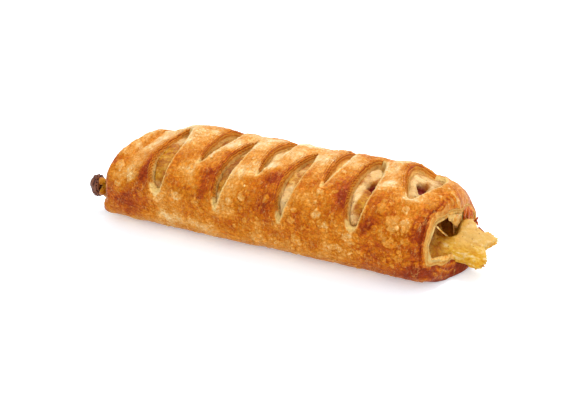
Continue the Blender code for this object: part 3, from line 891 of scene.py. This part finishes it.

# %% Leaf edges with painted highlights, pale lips and layer lines
# Pale lines along the edges of broken leaves are painted highlights.
contour = grain(fold_place, 3.0, 4.0, 0.6)
leaf_edge_highlight = spread(maths("ABSOLUTE", maths("SUBTRACT", contour, 0.5)), 0.020, 0.004)
leaf_edge_highlight = maths("MULTIPLY", leaf_edge_highlight, spread(patchy, 0.42, 0.62, 0.0, 0.45))
skin_colour = blend(leaf_edge_highlight, skin_colour, as_seen(244, 190, 112))
lip_share = spread(value_of("lip"), 0.25, 0.85, 0.0, 0.85)
lip_share = maths("MULTIPLY", lip_share, spread(patchy, 0.36, 0.56, 0.45, 1.0))
skin_colour = blend(lip_share, skin_colour, as_seen(250, 206, 128))
beyond_here = value_of("beyond")
wavy = maths("MULTIPLY_ADD", patchy, 1.6, maths("DIVIDE", beyond_here, 1.05))
layer_line = spread(maths("SINE", maths("MULTIPLY", wavy, 2.0 * math.pi)), 0.35, 0.95)
layer_line = maths("MULTIPLY", layer_line, spread(beyond_here, 3.6, 0.6, 0.0, 0.75))
layer_line = maths("MULTIPLY", layer_line, spread(beyond_here, -0.4, 0.2))
skin_colour = blend(layer_line, skin_colour, as_seen(150, 58, 18))

# %% Colours of the cut faces
cut_here = value_of("cut")
layer_place = add("CombineXYZ", {
    "X": maths("MULTIPLY", value_of("plain_x"), 0.12),
    "Y": maths("MULTIPLY", cut_here, 2.6),
    "Z": maths("MULTIPLY", value_of("share"), 14.0),
}).outputs["Vector"]
streaks = add("TexNoise", {
    "Vector": layer_place, "Scale": 1.0, "Detail": 3.0, "Roughness": 0.6,
}).outputs["Fac"]
layered = maths("MULTIPLY_ADD", streaks, 1.6, maths("SUBTRACT", cut_here, 0.8))
left_cut = ramp(maths("DIVIDE", layered, 4.5, clamp=True), [
    (0.00, 220, 124, 34), (0.06, 164, 60, 8), (0.14, 232, 144, 46),
    (0.26, 172, 68, 8), (0.36, 242, 166, 68), (0.48, 206, 106, 24),
    (0.60, 242, 176, 88), (1.00, 250, 206, 132),
])
right_cut = ramp(maths("DIVIDE", layered, 4.5, clamp=True), [
    (0.00, 240, 170, 78), (0.15, 252, 212, 132), (0.40, 252, 212, 134),
    (1.00, 242, 180, 96),
])
cut_colour = blend(spread(value_of("flank"), -0.6, 0.4), left_cut, right_cut)
inset_value = value_of("inset")
end_layers = maths("MULTIPLY_ADD", fibrous, 3.0, maths("SUBTRACT", cut_here, 1.5))
end_cut = ramp(maths("DIVIDE", end_layers, 7.0, clamp=True), [
    (0.00, 196, 100, 30), (0.08, 232, 158, 72), (0.20, 244, 192, 108),
    (0.32, 222, 146, 62), (0.48, 246, 200, 120), (0.75, 250, 214, 142),
    (1.00, 230, 164, 82),
])
cut_colour = blend(spread(inset_value, 0.02, 0.12), cut_colour, end_cut)
colour = blend(spread(cut_here, 0.25, 0.75), skin_colour, cut_colour)

# %% The inner side's colour
streaky = grain(turned(where, UPRIGHT), 1.2, 3.0, 0.6)
rim_side = ramp(fibrous, [
    (0.36, 220, 132, 48), (0.48, 240, 174, 86), (0.62, 250, 202, 120),
])
deep_side = ramp(streaky, [
    (0.36, 206, 112, 36), (0.50, 238, 164, 76), (0.64, 252, 210, 134),
])
inner_colour = blend(spread(inset_value, 0.5, 2.5), deep_side, rim_side)
inside = value_of("inside")
colour = blend(inside, colour, inner_colour)
# Painted light: a weak glow, an emission, brightens the inner side where it lies in shade.
INNER_PAINTED_LIGHT = 0.26
painted_inner_light = maths("MULTIPLY", inside, INNER_PAINTED_LIGHT)
fill(shader, {"Base Color": colour, "Emission Color": colour, "Emission Strength": painted_inner_light})

# %% Gloss and fine relief of the crust
is_cut = spread(cut_here, 0.3, 1.0)
gloss = maths("MULTIPLY_ADD", flaky, 0.50, 0.14)
fill(shader, {"Roughness": maths("MULTIPLY_ADD", is_cut, 0.25, gloss, clamp=True)})
soften(0.06, (1.0, 0.45, 0.2), 0.0012, specular=0.09)
crackle = add("TexVoronoi", {"Vector": where, "Scale": 480.0}, feature="DISTANCE_TO_EDGE")
height = maths("MULTIPLY", patchy, 0.3)
for texture, amount in (
    (spread(crackle.outputs["Distance"], 0.0, 0.12), 0.30), (spread(flaky, 0.42, 0.58), 0.8),
    (fibrous, 0.7), (maths("MULTIPLY", streaks, is_cut), 3.0),
):
    height = maths("MULTIPLY_ADD", texture, amount, height)
fine_relief(height, 1.0, 0.00034)
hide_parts("crust")
finish_piece(crust, crust_material)

# %% [markdown]
# ## Apple filling
# The filling is soft, moist apple with bits of dough that have soaked into it. Its solid has the right
# form, so a copy is merged, remeshed finely and softened, and then gets lumps and torn edges.

# %% Copy the filling's solid and remesh it
def copy_of_solid(node, name, voxel, smoothing):
    """A new piece with a node's form: merged, remeshed and softened."""
    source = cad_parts[node]
    piece = bpy.data.objects.new(name, source.data.copy())
    bpy.context.scene.collection.objects.link(piece)
    select_only(piece)
    bpy.ops.object.mode_set(mode="EDIT")
    close_up(0.000001, outwards=False)
    apply_modifier(piece, "REMESH", mode="VOXEL", voxel_size=voxel * MM)
    apply_modifier(piece, "SMOOTH", factor=0.5, iterations=smoothing)
    return piece


filling = copy_of_solid("apple_filling", "cooked_apple_filling", voxel=0.62, smoothing=5)
filling_points = get_points(filling)
print("filling:", len(filling_points), "points")


# %% Where the filling's points lie on the log
def log_place(points):
    """Girth share of points inside the log."""
    x, y, z = points.T
    height = lookup(HEIGHTS, x)
    waist = WAIST * height
    reach = np.where(y < 0.0, lookup(FRONT_WIDTHS, x), lookup(BACK_WIDTHS, x))
    power = np.where(z > waist, lookup(SHOULDERS, x), FOOT)
    wide = (np.abs(y) / reach) ** power
    tall = (np.abs(z - waist) / np.where(z > waist, height - waist, waist + SINK)) ** power
    angle = np.arctan2(np.sign(z - waist) * np.sqrt(tall), -np.sign(y) * np.sqrt(wide))
    angle = np.where(angle < -math.pi / 2, angle + 2.0 * math.pi, angle)
    walked = np.interp(angle, FINE_ANGLES, WALKED)
    return (walked - FIRST) / (LAST - FIRST)


filling_share = log_place(filling_points)
filling_x = filling_points[:, 0]
filling_normals = np.empty(len(filling_points) * 3)
filling.data.vertices.foreach_get("normal", filling_normals)
filling_normals = filling_normals.reshape(-1, 3)
print("girth shares of the filling:", filling_share.min().round(2), "to", filling_share.max().round(2))

# %% [markdown]
# What shows differs from slit to slit: yellow apple in the first, brown apple in the second, soaked dough
# in the third, and pale dough round a hole in the fourth and in the last one behind it. These are
# soft patches again, for dough, for brown juice and for the holes, whose dark red is painted shade.

# %% Dough, juice and holes in the filling
# X, girth share, half length, half width, amount
DOUGH_PATCHES = [
    (7.4, 0.27, 5, 8, 1.0), (7.4, 0.45, 5, 14, 0.48), (38.5, 0.57, 5, 11, 0.85), (40.5, 0.25, 5, 4, 0.6),
    (37.2, 0.37, 2.6, 15, 0.85), (-8.4, 0.50, 5, 16, 0.85), (21.6, 0.52, 5, 16, 0.85),
    (56.0, 0.52, 3.5, 16, 0.9), (65.5, 0.52, 4, 12, 0.6), (-23.5, 0.24, 5, 3, 0.6),
    (-58.5, 0.52, 6, 9, 0.80), (61.5, 0.64, 4, 8, 0.55), (-54.0, 0.235, 5, 3, 0.5),
    (-38.0, 0.42, 5, 7, 0.5), (-23.6, 0.50, 5, 6, 0.5),
]
JUICE_PATCHES = [
    (-23.5, 0.34, 6, 9, 0.75), (-55.0, 0.30, 4, 6, 0.35), (-37.5, 0.56, 5, 9, 0.50),
    (7.4, 0.27, 4, 5, 0.35), (21.6, 0.42, 4, 4, 0.45), (-24.0, 0.42, 4, 6, 0.5),
    (59.4, 0.470, 3, 3.5, 0.9),
]
# Holes: the filling dips there, and painted shade darkens them dark red.
HOLE_AND_SHADE_PATCHES = [(40.9, 0.435, 3.0, 5.6, 1.0), (59.6, 0.535, 3.0, 6.0, 1.0)]
DOUGH_END, JUICE_END = 70.0, 62.0        # along X, where the tongue begins
dough = patches(filling_x, filling_share, DOUGH_PATCHES) * (filling_x < DOUGH_END)
juice = patches(filling_x, filling_share, JUICE_PATCHES) * (filling_x < JUICE_END)
hole_and_painted_shade = patches(filling_x, filling_share, HOLE_AND_SHADE_PATCHES) * (filling_x < JUICE_END)
print("share of the filling that is soaked dough:", round(float((dough > 0.5).mean()), 2))

# %% Lumps and grain of the filling
# How much of the tongue's far side is left, along X
FAR_EDGE = {80: 1.0, 82: 0.98, 84: 0.86, 86: 0.66, 88: 0.62, 90: 0.84, 92: 1.0}
TONGUE_START, TONGUE_GROWTH, TONGUE_MIDDLE_Y = 72.5, 6.0, -1.8
tongue = ease((filling_x - TONGUE_START) / TONGUE_GROWTH)
chunks = np.maximum(waves(filling_points, 5.5, 61.0), -0.35)
lumps = 0.75 * chunks + 0.35 * waves(filling_points, 2.3, 63.0) + 0.12 * waves(filling_points, 1.0, 67.0)
lumps *= 1.0 - 0.45 * tongue - 0.25 * ease((filling_x - 86.0) / 4.0)
lumps += 0.75 * tongue - 0.35 - 1.2 * ease((hole_and_painted_shade - 0.35) / 0.4)

# The hollow over the tongue is an oval dip, seen from above, and painted shade darkens it
CAVITY, CAVITY_HALF, CAVITY_DEPTH = np.array([74.0, 3.0]), (6.5, 3.4), 3.8
CAVITY_TURN = math.radians(115.0)
offset = filling_points[:, :2] - CAVITY
lengthwise = (offset[:, 0] * math.cos(CAVITY_TURN) + offset[:, 1] * math.sin(CAVITY_TURN)) / CAVITY_HALF[0]
crosswise = (offset[:, 1] * math.cos(CAVITY_TURN) - offset[:, 0] * math.sin(CAVITY_TURN)) / CAVITY_HALF[1]
upper_side = (filling_normals[:, 2] > 0.2) & (filling_points[:, 2] > 11.0)
cavity = ease((1.25 - np.hypot(lengthwise, crosswise)) / 0.6) * upper_side

# The filling wells up in the open slits
SLIT_RISE = 2.7
in_slit, side, *_ = at_slits(filling_x, filling_share)
left_rise, right_rise = ease((in_slit - 1.7) / 2.6), ease((in_slit - 0.8) / 1.3)
not_hole = 1.0 - ease((hole_and_painted_shade - 0.3) / 0.4)
risen = SLIT_RISE * np.where(side < 0.0, left_rise, right_rise) * (filling_x < 72.0) * not_hole
filling_points += filling_normals * (lumps + risen)[:, None]
filling_points[:, 2] -= CAVITY_DEPTH * cavity
print("lumps, mm:", lumps.min().round(1), "to", lumps.max().round(1), "risen:", risen.max().round(1))

# %% Torn edges of the filling, and what its material reads
ragged = waves(filling_points, 2.2, 71.0) + 0.5 * waves(filling_points, 1.1, 73.0)
drawn_in = 1.0 - lookup(FAR_EDGE, filling_points[:, 0])
beyond_middle = np.maximum(filling_points[:, 1] - TONGUE_MIDDLE_Y, 0.0)
filling_points[:, 1] -= drawn_in * beyond_middle
filling_points[:, 2] -= 0.5 * drawn_in * beyond_middle
filling_points[:, 0] += (0.7 + 0.12 * ragged) * ease((filling_x - 84.0) / 5.0)
set_points(filling, filling_points)
apply_modifier(filling, "SMOOTH", factor=0.5, iterations=3)
set_points(filling, np.clip(get_points(filling), low, high))
# Painted shade: the filling's face just inside the opening is darkened, through the juice value.
painted_opening_shade = ease((72.5 - filling_x) / 3.0) * (filling_x > JUICE_END)
raised = 0.6 * ease((get_points(filling)[:, 2] - 11.0) / 5.0) * ease((filling_x - 76.0) / 6.0)
kept_values = {
    "dough": dough, "juice": np.maximum(juice, 0.8 * painted_opening_shade), "hole_and_painted_shade": np.maximum(hole_and_painted_shade, 0.42 * cavity),
    "tongue": tongue, "raised": raised,
}
for name, values in kept_values.items():
    set_value(filling, name, np.clip(values, -1.0, 1.0))
print("the filling's material reads:", sorted(kept_values))

# %% The filling's material
apple_material, tree, shader = new_material("cooked_apple")
where = add("TexCoord").outputs["Object"]
cells = grain(where, 3.6, 3.0, 0.5, 0.3)
fibres = grain(where, 0.9, 4.0, 0.65)
pulp = maths("MULTIPLY_ADD", fibres, 0.5, maths("MULTIPLY_ADD", cells, 0.9, -0.22), clamp=True)
apple_colour = ramp(pulp, [
    (0.10, 134, 68, 8), (0.38, 176, 102, 14), (0.60, 208, 146, 38),
    (0.85, 238, 204, 112),
])
brown_colour = ramp(pulp, [
    (0.1, 104, 54, 18), (0.5, 164, 104, 46), (0.9, 212, 164, 98),
])
dough_colour = ramp(pulp, [
    (0.1, 204, 152, 86), (0.5, 231, 192, 130), (0.9, 246, 224, 172),
])

# %% The tongue, and all that colours the filling
streaked = grain(turned(where, (0.4, 1.0, 1.0), 0.5), 1.6, 4.0, 0.6)
tongue_colour = ramp(maths("MULTIPLY_ADD", streaked, 1.3, maths("MULTIPLY_ADD", pulp, 0.6, -0.47)), [
    (0.08, 176, 104, 14), (0.32, 214, 152, 24), (0.52, 226, 176, 64),
    (0.80, 248, 228, 176),
])
tongue_colour = blend(value_of("raised"), tongue_colour, as_seen(228, 190, 122))
colour = blend(value_of("tongue"), apple_colour, tongue_colour)
# Brown for juice, and for painted shade on the filling's face inside the opening.
juice_and_painted_shade_share = maths("MULTIPLY_ADD", cells, 0.5, maths("SUBTRACT", value_of("juice"), 0.2), clamp=True)
colour = blend(juice_and_painted_shade_share, colour, brown_colour)
dough_share = spread(maths("MULTIPLY_ADD", cells, 0.5, value_of("dough")), 0.5, 0.95)
colour = blend(dough_share, colour, dough_colour)
# Painted shade: dark red in the holes and in the hollow over the tongue.
painted_hole_shade = spread(maths("MULTIPLY_ADD", fibres, 0.3, value_of("hole_and_painted_shade")), 0.55, 0.75)
colour = blend(painted_hole_shade, colour, as_seen(136, 46, 16))
specks = add("TexVoronoi", {"Vector": where, "Scale": 360.0}, feature="F1").outputs["Distance"]
speck_share = spread(specks, 0.15, 0.09, 0.0, 0.5)
colour = blend(speck_share, colour, as_seen(120, 66, 26))
fill(shader, {"Base Color": colour, "Roughness": spread(fibres, 0.3, 0.7, 0.25, 0.5)})
soften(0.30, (1.0, 0.62, 0.25), 0.0022, specular=0.20)
fine_relief(maths("MULTIPLY_ADD", fibres, 0.8, cells), 1.0, 0.0009)
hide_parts("apple_filling")
finish_piece(filling, apple_material)

# %% [markdown]
# ## Torn bits at the ends
# The roll was torn open at the right: a ragged curtain of dough hangs inside the rim, two strands of it
# cross the dark hollow, and the layers beside the tongue have come apart into upright strands. Scorched
# flecks of sugar stick to the tongue's upper edge. At the left end, bits of apple lie by the raisin. Apart
# from the curtain, each is a grid wrapped into a tube along a path, with its ends drawn to a point and
# merged. All of them start inside the piece that carries them.

# %% The ragged curtain inside the rim
# At places along Y: where the rim is, and where the curtain's top and foot are
RIM_X = {-27: 71.6, -20: 71.9, -13: 73.2, -9: 74.4, -4: 75.9, -1: 77.0, 2: 77.9, 6: 78.4, 12: 78.4}
CURTAIN_TOP = {
    -27: 21.0, -24: 24.6, -20: 27.0, -16: 28.0, -9: 28.2, -4: 27.4, -1: 26.6, 2: 25.8, 6.5: 25.0,
    9.4: 22.5, 12: 17.0,
}
CURTAIN_FOOT = {
    -27: 17.5, -24: 18.2, -20: 19.6, -16: 20.2, -14: 20.4, -12: 23.8, -9: 24.2, -6: 23.6, -3.8: 24.6,
    -1.2: 20.6, 1.5: 17.5, 4.9: 14.4, 9: 13.4, 12: 13.4,
}
CURTAIN_START, CURTAIN_WIDTH = -27.0, 39.0
CURTAIN_THICKNESS = 0.9
curtain, flat = grid("torn_dough_curtain", 120, 34)
y, down = CURTAIN_START + CURTAIN_WIDTH * (flat[:, 0] + 0.5), 0.5 - flat[:, 1]
sideways = np.stack([y, 0.0 * y, 0.0 * y], axis=1)
frayed = 0.16 * waves(sideways, 1.5, 91.0) + 0.10 * waves(sideways, 0.6, 93.0)
torn = 1.0 + frayed * ease((-1.0 - y) / 2.0)
top = lookup(CURTAIN_TOP, y)
z = top - down * (top - lookup(CURTAIN_FOOT, y)) * torn
rough_place = np.stack([0.0 * y, y, z], axis=1)
x = lookup(RIM_X, y) - 1.1 - 1.2 * down + 0.6 * waves(rough_place, 4.0, 95.0)
x += 0.35 * waves(rough_place, 1.4, 97.0)
set_points(curtain, np.stack([x, y, z], axis=1))
apply_modifier(curtain, "SOLIDIFY", thickness=CURTAIN_THICKNESS * MM, offset=0.0, use_rim=True)

# %% The torn dough's material
torn_material, tree, shader = new_material("torn_dough")
where = add("TexCoord").outputs["Object"]
crumbly = grain(where, 1.3, 4.0, 0.65)
blotchy = grain(where, 3.2, 3.0, 0.5)
paleness = maths("MULTIPLY_ADD", blotchy, 0.8, maths("MULTIPLY", crumbly, 0.6), clamp=True)
torn_colour = ramp(paleness, [
    (0.45, 186, 104, 34), (0.58, 222, 152, 66), (0.72, 240, 194, 114), (0.88, 250, 212, 140),
])
fill(shader, {"Base Color": torn_colour, "Roughness": 0.5})
soften(0.35, (1.0, 0.6, 0.25), 0.0012, specular=0.25)
fine_relief(crumbly, 0.8, 0.0005)
finish_piece(curtain, torn_material)


# %% A tube along a path
def strand(name, path, radii, flatness, material):
    """A tube through a path's points, thinner at its ends and flattened to a share of its width."""
    piece, flat = grid(name, 40, 14)
    step, turn = flat[:, 0] + 0.5, (flat[:, 1] + 0.5) * 2.0 * math.pi
    spots = np.linspace(0.0, 1.0, len(path))
    centre = np.stack([np.interp(step, spots, [spot[axis] for spot in path]) for axis in range(3)], axis=1)
    way = np.array(path[-1], float) - np.array(path[0], float)
    way /= np.linalg.norm(way)
    side = np.cross(way, (1.0, 0.0, 0.0))
    side /= np.linalg.norm(side)
    front = np.cross(side, way)
    radius = np.interp(step, np.linspace(0.0, 1.0, len(radii)), radii)
    radius *= np.sqrt(np.clip(1.0 - (2.0 * step - 1.0) ** 6, 0.0, 1.0))
    radius = radius * (1.0 + 0.30 * waves(centre + radius[:, None] * np.cos(turn)[:, None], 1.2, 101.0))
    sidewards = (radius * np.cos(turn))[:, None] * side
    forwards = (flatness * radius * np.sin(turn))[:, None] * front
    set_points(piece, centre + sidewards + forwards)
    bpy.ops.object.mode_set(mode="EDIT")
    close_up(0.00001, outwards=True)
    finish_piece(piece, material)


def strands(names, rows, flatness, material):
    """Several strands. A row is a path and the radii along it, in millimetres."""
    for name, (path, radii) in zip(names, rows):
        strand(name, path, radii, flatness, material)


strands(("dough_strand_front", "dough_strand_back"), [
    ([(72.6, -15.5, 24.5), (73.6, -9.5, 19.0), (73.8, -4.0, 15.0), (74.4, 1.0, 10.5)],
     [0.42, 0.34, 0.42, 0.5]),
    ([(75.4, -2.5, 25.0), (75.6, 0.0, 20.0), (75.2, 3.0, 15.0), (74.8, 6.0, 9.5)],
     [0.5, 0.38, 0.42, 0.55]),
], 0.7, torn_material)

# %% Upright strands beside the tongue
layer_material, tree, shader = new_material("loose_baked_layers")
where = add("TexCoord").outputs["Object"]
grained = grain(turned(where, UPRIGHT), 0.9, 4.0, 0.6)
layer_colour = ramp(grained, [(0.38, 138, 50, 8), (0.50, 190, 90, 22), (0.62, 228, 142, 60)])
fill(shader, {"Base Color": layer_colour, "Roughness": 0.5})
soften(0.25, (1.0, 0.4, 0.15), 0.001, specular=0.10)
strands(("loose_layer_1", "loose_layer_2"), [
    ([(77.2, 8.0, 25.0), (78.2, 9.0, 21.5), (77.8, 9.5, 17.0), (77.5, 10.5, 14.0)],
     [1.5, 1.5, 1.4, 1.2]),
    ([(77.4, 11.0, 23.6), (78.6, 12.0, 20.5), (78.8, 13.0, 17.0), (78.4, 13.5, 13.0)],
     [1.6, 1.6, 1.5, 1.3]),
], 0.35, layer_material)
strands(("loose_layer_3",), [
    ([(77.4, 15.0, 21.0), (78.8, 16.0, 18.0), (79.3, 16.5, 15.0), (78.8, 16.5, 11.5)],
     [1.6, 1.8, 1.8, 1.4]),
], 0.4, layer_material)

# %% Scorched sugar on the tongue and bits of apple by the raisin
sugar_material, tree, shader = new_material("scorched_sugar")
where = add("TexCoord").outputs["Object"]
sugar_grain = grain(where, 0.8, 3.0, 0.6)
sugar_colour = ramp(sugar_grain, [(0.35, 110, 26, 0), (0.52, 190, 80, 10), (0.68, 226, 130, 40)])
fill(shader, {"Base Color": sugar_colour, "Roughness": 0.28, "Specular IOR Level": 0.25})
strands(("sugar_fleck_1", "sugar_fleck_2", "sugar_fleck_3"), [
    ([(81.8, 9.6, 16.6), (82.9, 10.2, 17.6), (83.6, 9.4, 18.9), (84.0, 9.6, 19.8)],
     [0.7, 0.65, 0.5, 0.3]),
    ([(82.9, 10.4, 17.2), (84.0, 8.2, 17.4), (85.0, 6.2, 17.2)],
     [0.4, 0.55, 0.4]),
    ([(85.4, 5.4, 17.0), (86.6, 3.6, 16.9), (88.0, 2.6, 16.6), (88.8, 2.2, 16.4)],
     [0.5, 0.8, 0.8, 0.5]),
], 0.8, sugar_material)
strands(("apple_bit_1", "apple_bit_2"), [
    ([(-87.6, -20.2, 16.6), (-89.4, -21.2, 16.4), (-90.6, -21.6, 15.2)],
     [1.6, 2.1, 1.6]),
    ([(-87.4, -21.4, 10.6), (-88.8, -22.2, 11.4), (-89.8, -22.0, 12.6)],
     [1.6, 2.0, 1.5]),
], 0.85, apple_material)

# %% [markdown]
# ## Raisin
# A raisin is a dried grape: its skin shrinks into deep, branching wrinkles. A fine icosphere is stretched
# to its size and wrinkled with folded noise, whose creases are sharp.

# %% The raisin
RAISIN_PLACE = np.array([-93.6, -18.8, 12.6])
RAISIN_RADII = np.array([3.3, 4.0, 5.6])
bpy.ops.object.select_all(action="DESELECT")
bpy.ops.mesh.primitive_ico_sphere_add(subdivisions=6, radius=1.0)
raisin = bpy.context.object
raisin.name = raisin.data.name = "wrinkled_raisin"
ball = get_points(raisin) * MM
skin = ball * 5.0        # about its size in millimetres, for the wrinkles
folds = np.abs(waves(skin, (2.2, 2.2, 3.4), 81.0)) + 0.5 * np.abs(waves(skin, 1.1, 83.0))
swollen = 0.86 + 0.22 * np.minimum(folds, 0.8) + 0.08 * waves(skin, 4.0, 87.0)
raisin_points = RAISIN_PLACE + ball * RAISIN_RADII * swollen[:, None]
box_low, box_high = (np.array(corner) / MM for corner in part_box("raisin"))
set_points(raisin, np.clip(raisin_points, box_low, box_high))
# The folds' height is kept, for painted shade in the creases and painted highlight on the ridges.
set_value(raisin, "fold_shade", folds)

# %% The raisin's material
raisin_material, tree, shader = new_material("raisin_skin")
where = add("TexCoord").outputs["Object"]
skin_grain = grain(where, 0.7, 4.0, 0.6)
# The colour follows the folds: darker in the creases as painted shade, lighter on the ridges as painted
# highlight.
raisin_fold_shade = maths("MULTIPLY_ADD", skin_grain, 0.5, value_of("fold_shade"), clamp=True)
raisin_colour = ramp(raisin_fold_shade, [(0.15, 44, 8, 8), (0.5, 70, 26, 22), (0.85, 124, 76, 54)])
raisin_gloss = spread(skin_grain, 0.3, 0.7, 0.22, 0.42)
fill(shader, {"Base Color": raisin_colour, "Roughness": raisin_gloss, "Specular IOR Level": 0.30})
fine_relief(skin_grain, 0.4, 0.0003)
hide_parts("raisin")
finish_piece(raisin, raisin_material)

# %% [markdown]
# ## Floor, light and camera
# The pastry lies on a plain white sheet under wide, soft light from above, as in a product picture. The
# camera looks down at it from the right, with a long lens.

# %% Floor and light
bpy.ops.object.select_all(action="DESELECT")
bpy.ops.mesh.primitive_plane_add(size=6.0, location=(0.0, 0.0, -0.0001))
floor = bpy.context.object
floor.name = "floor"
floor_material, tree, shader = new_material("white_sheet")
fill(shader, {
    "Base Color": (0.86, 0.91, 0.96, 1.0), "Roughness": 0.9, "Specular IOR Level": 0.1,
    "Emission Color": (0.90, 0.96, 1.0, 1.0), "Emission Strength": 0.30,
})
floor.data.materials.append(floor_material)

world = bpy.data.worlds.new("soft_white_room")
bpy.context.scene.world = world
world.use_nodes = True
fill(world.node_tree.nodes["Background"], {"Color": (0.985, 0.99, 1.0, 1.0), "Strength": 1.0})


# %% The lamps
def soft_light(name, place, size, power, colour):
    """An area light that faces the pastry."""
    bpy.ops.object.light_add(type="AREA", location=place)
    lamp = bpy.context.object
    lamp.name = name
    lamp.data.size = size
    lamp.data.energy = power
    lamp.data.color = colour
    lamp.rotation_euler = (-Vector(place)).to_track_quat("-Z", "Y").to_euler()


WARM_WHITE = (1.0, 0.98, 0.95)
soft_light("key_light", (0.10, 0.35, 0.85), 0.35, 7.0, WARM_WHITE)
soft_light("front_light", (0.45, -0.70, 0.55), 0.5, 2.0, WARM_WHITE)

# %% The camera
TURN, RISE = math.radians(24.5), math.radians(26.0)     # to the right of the front, and above it
DISTANCE, AIM_HEIGHT = 0.485, 0.015         # metres
SENSOR = 36.0                               # mm, as wide as the picture
PICTURE_WIDTH = 570.0                       # pixels
FOCAL = 1060.0                              # focal length in pixels
back = Vector((math.sin(TURN) * math.cos(RISE), -math.cos(TURN) * math.cos(RISE), math.sin(RISE)))
right = Vector((math.cos(TURN), math.sin(TURN), 0.0))
pose = Matrix((right, back.cross(right), back)).transposed().to_4x4()
pose.translation = Vector((0.0, 0.0, AIM_HEIGHT)) + back * DISTANCE
bpy.ops.object.camera_add()
camera = bpy.context.object
camera.matrix_world = pose
camera.data.lens = FOCAL / PICTURE_WIDTH * SENSOR
camera.data.sensor_width = SENSOR
camera.data.shift_x = -8.0 / PICTURE_WIDTH
camera.data.shift_y = -10.0 / PICTURE_WIDTH
bpy.context.scene.camera = camera
bpy.context.scene.view_settings.view_transform = "Standard"
print("focal length:", round(camera.data.lens, 1), "mm")
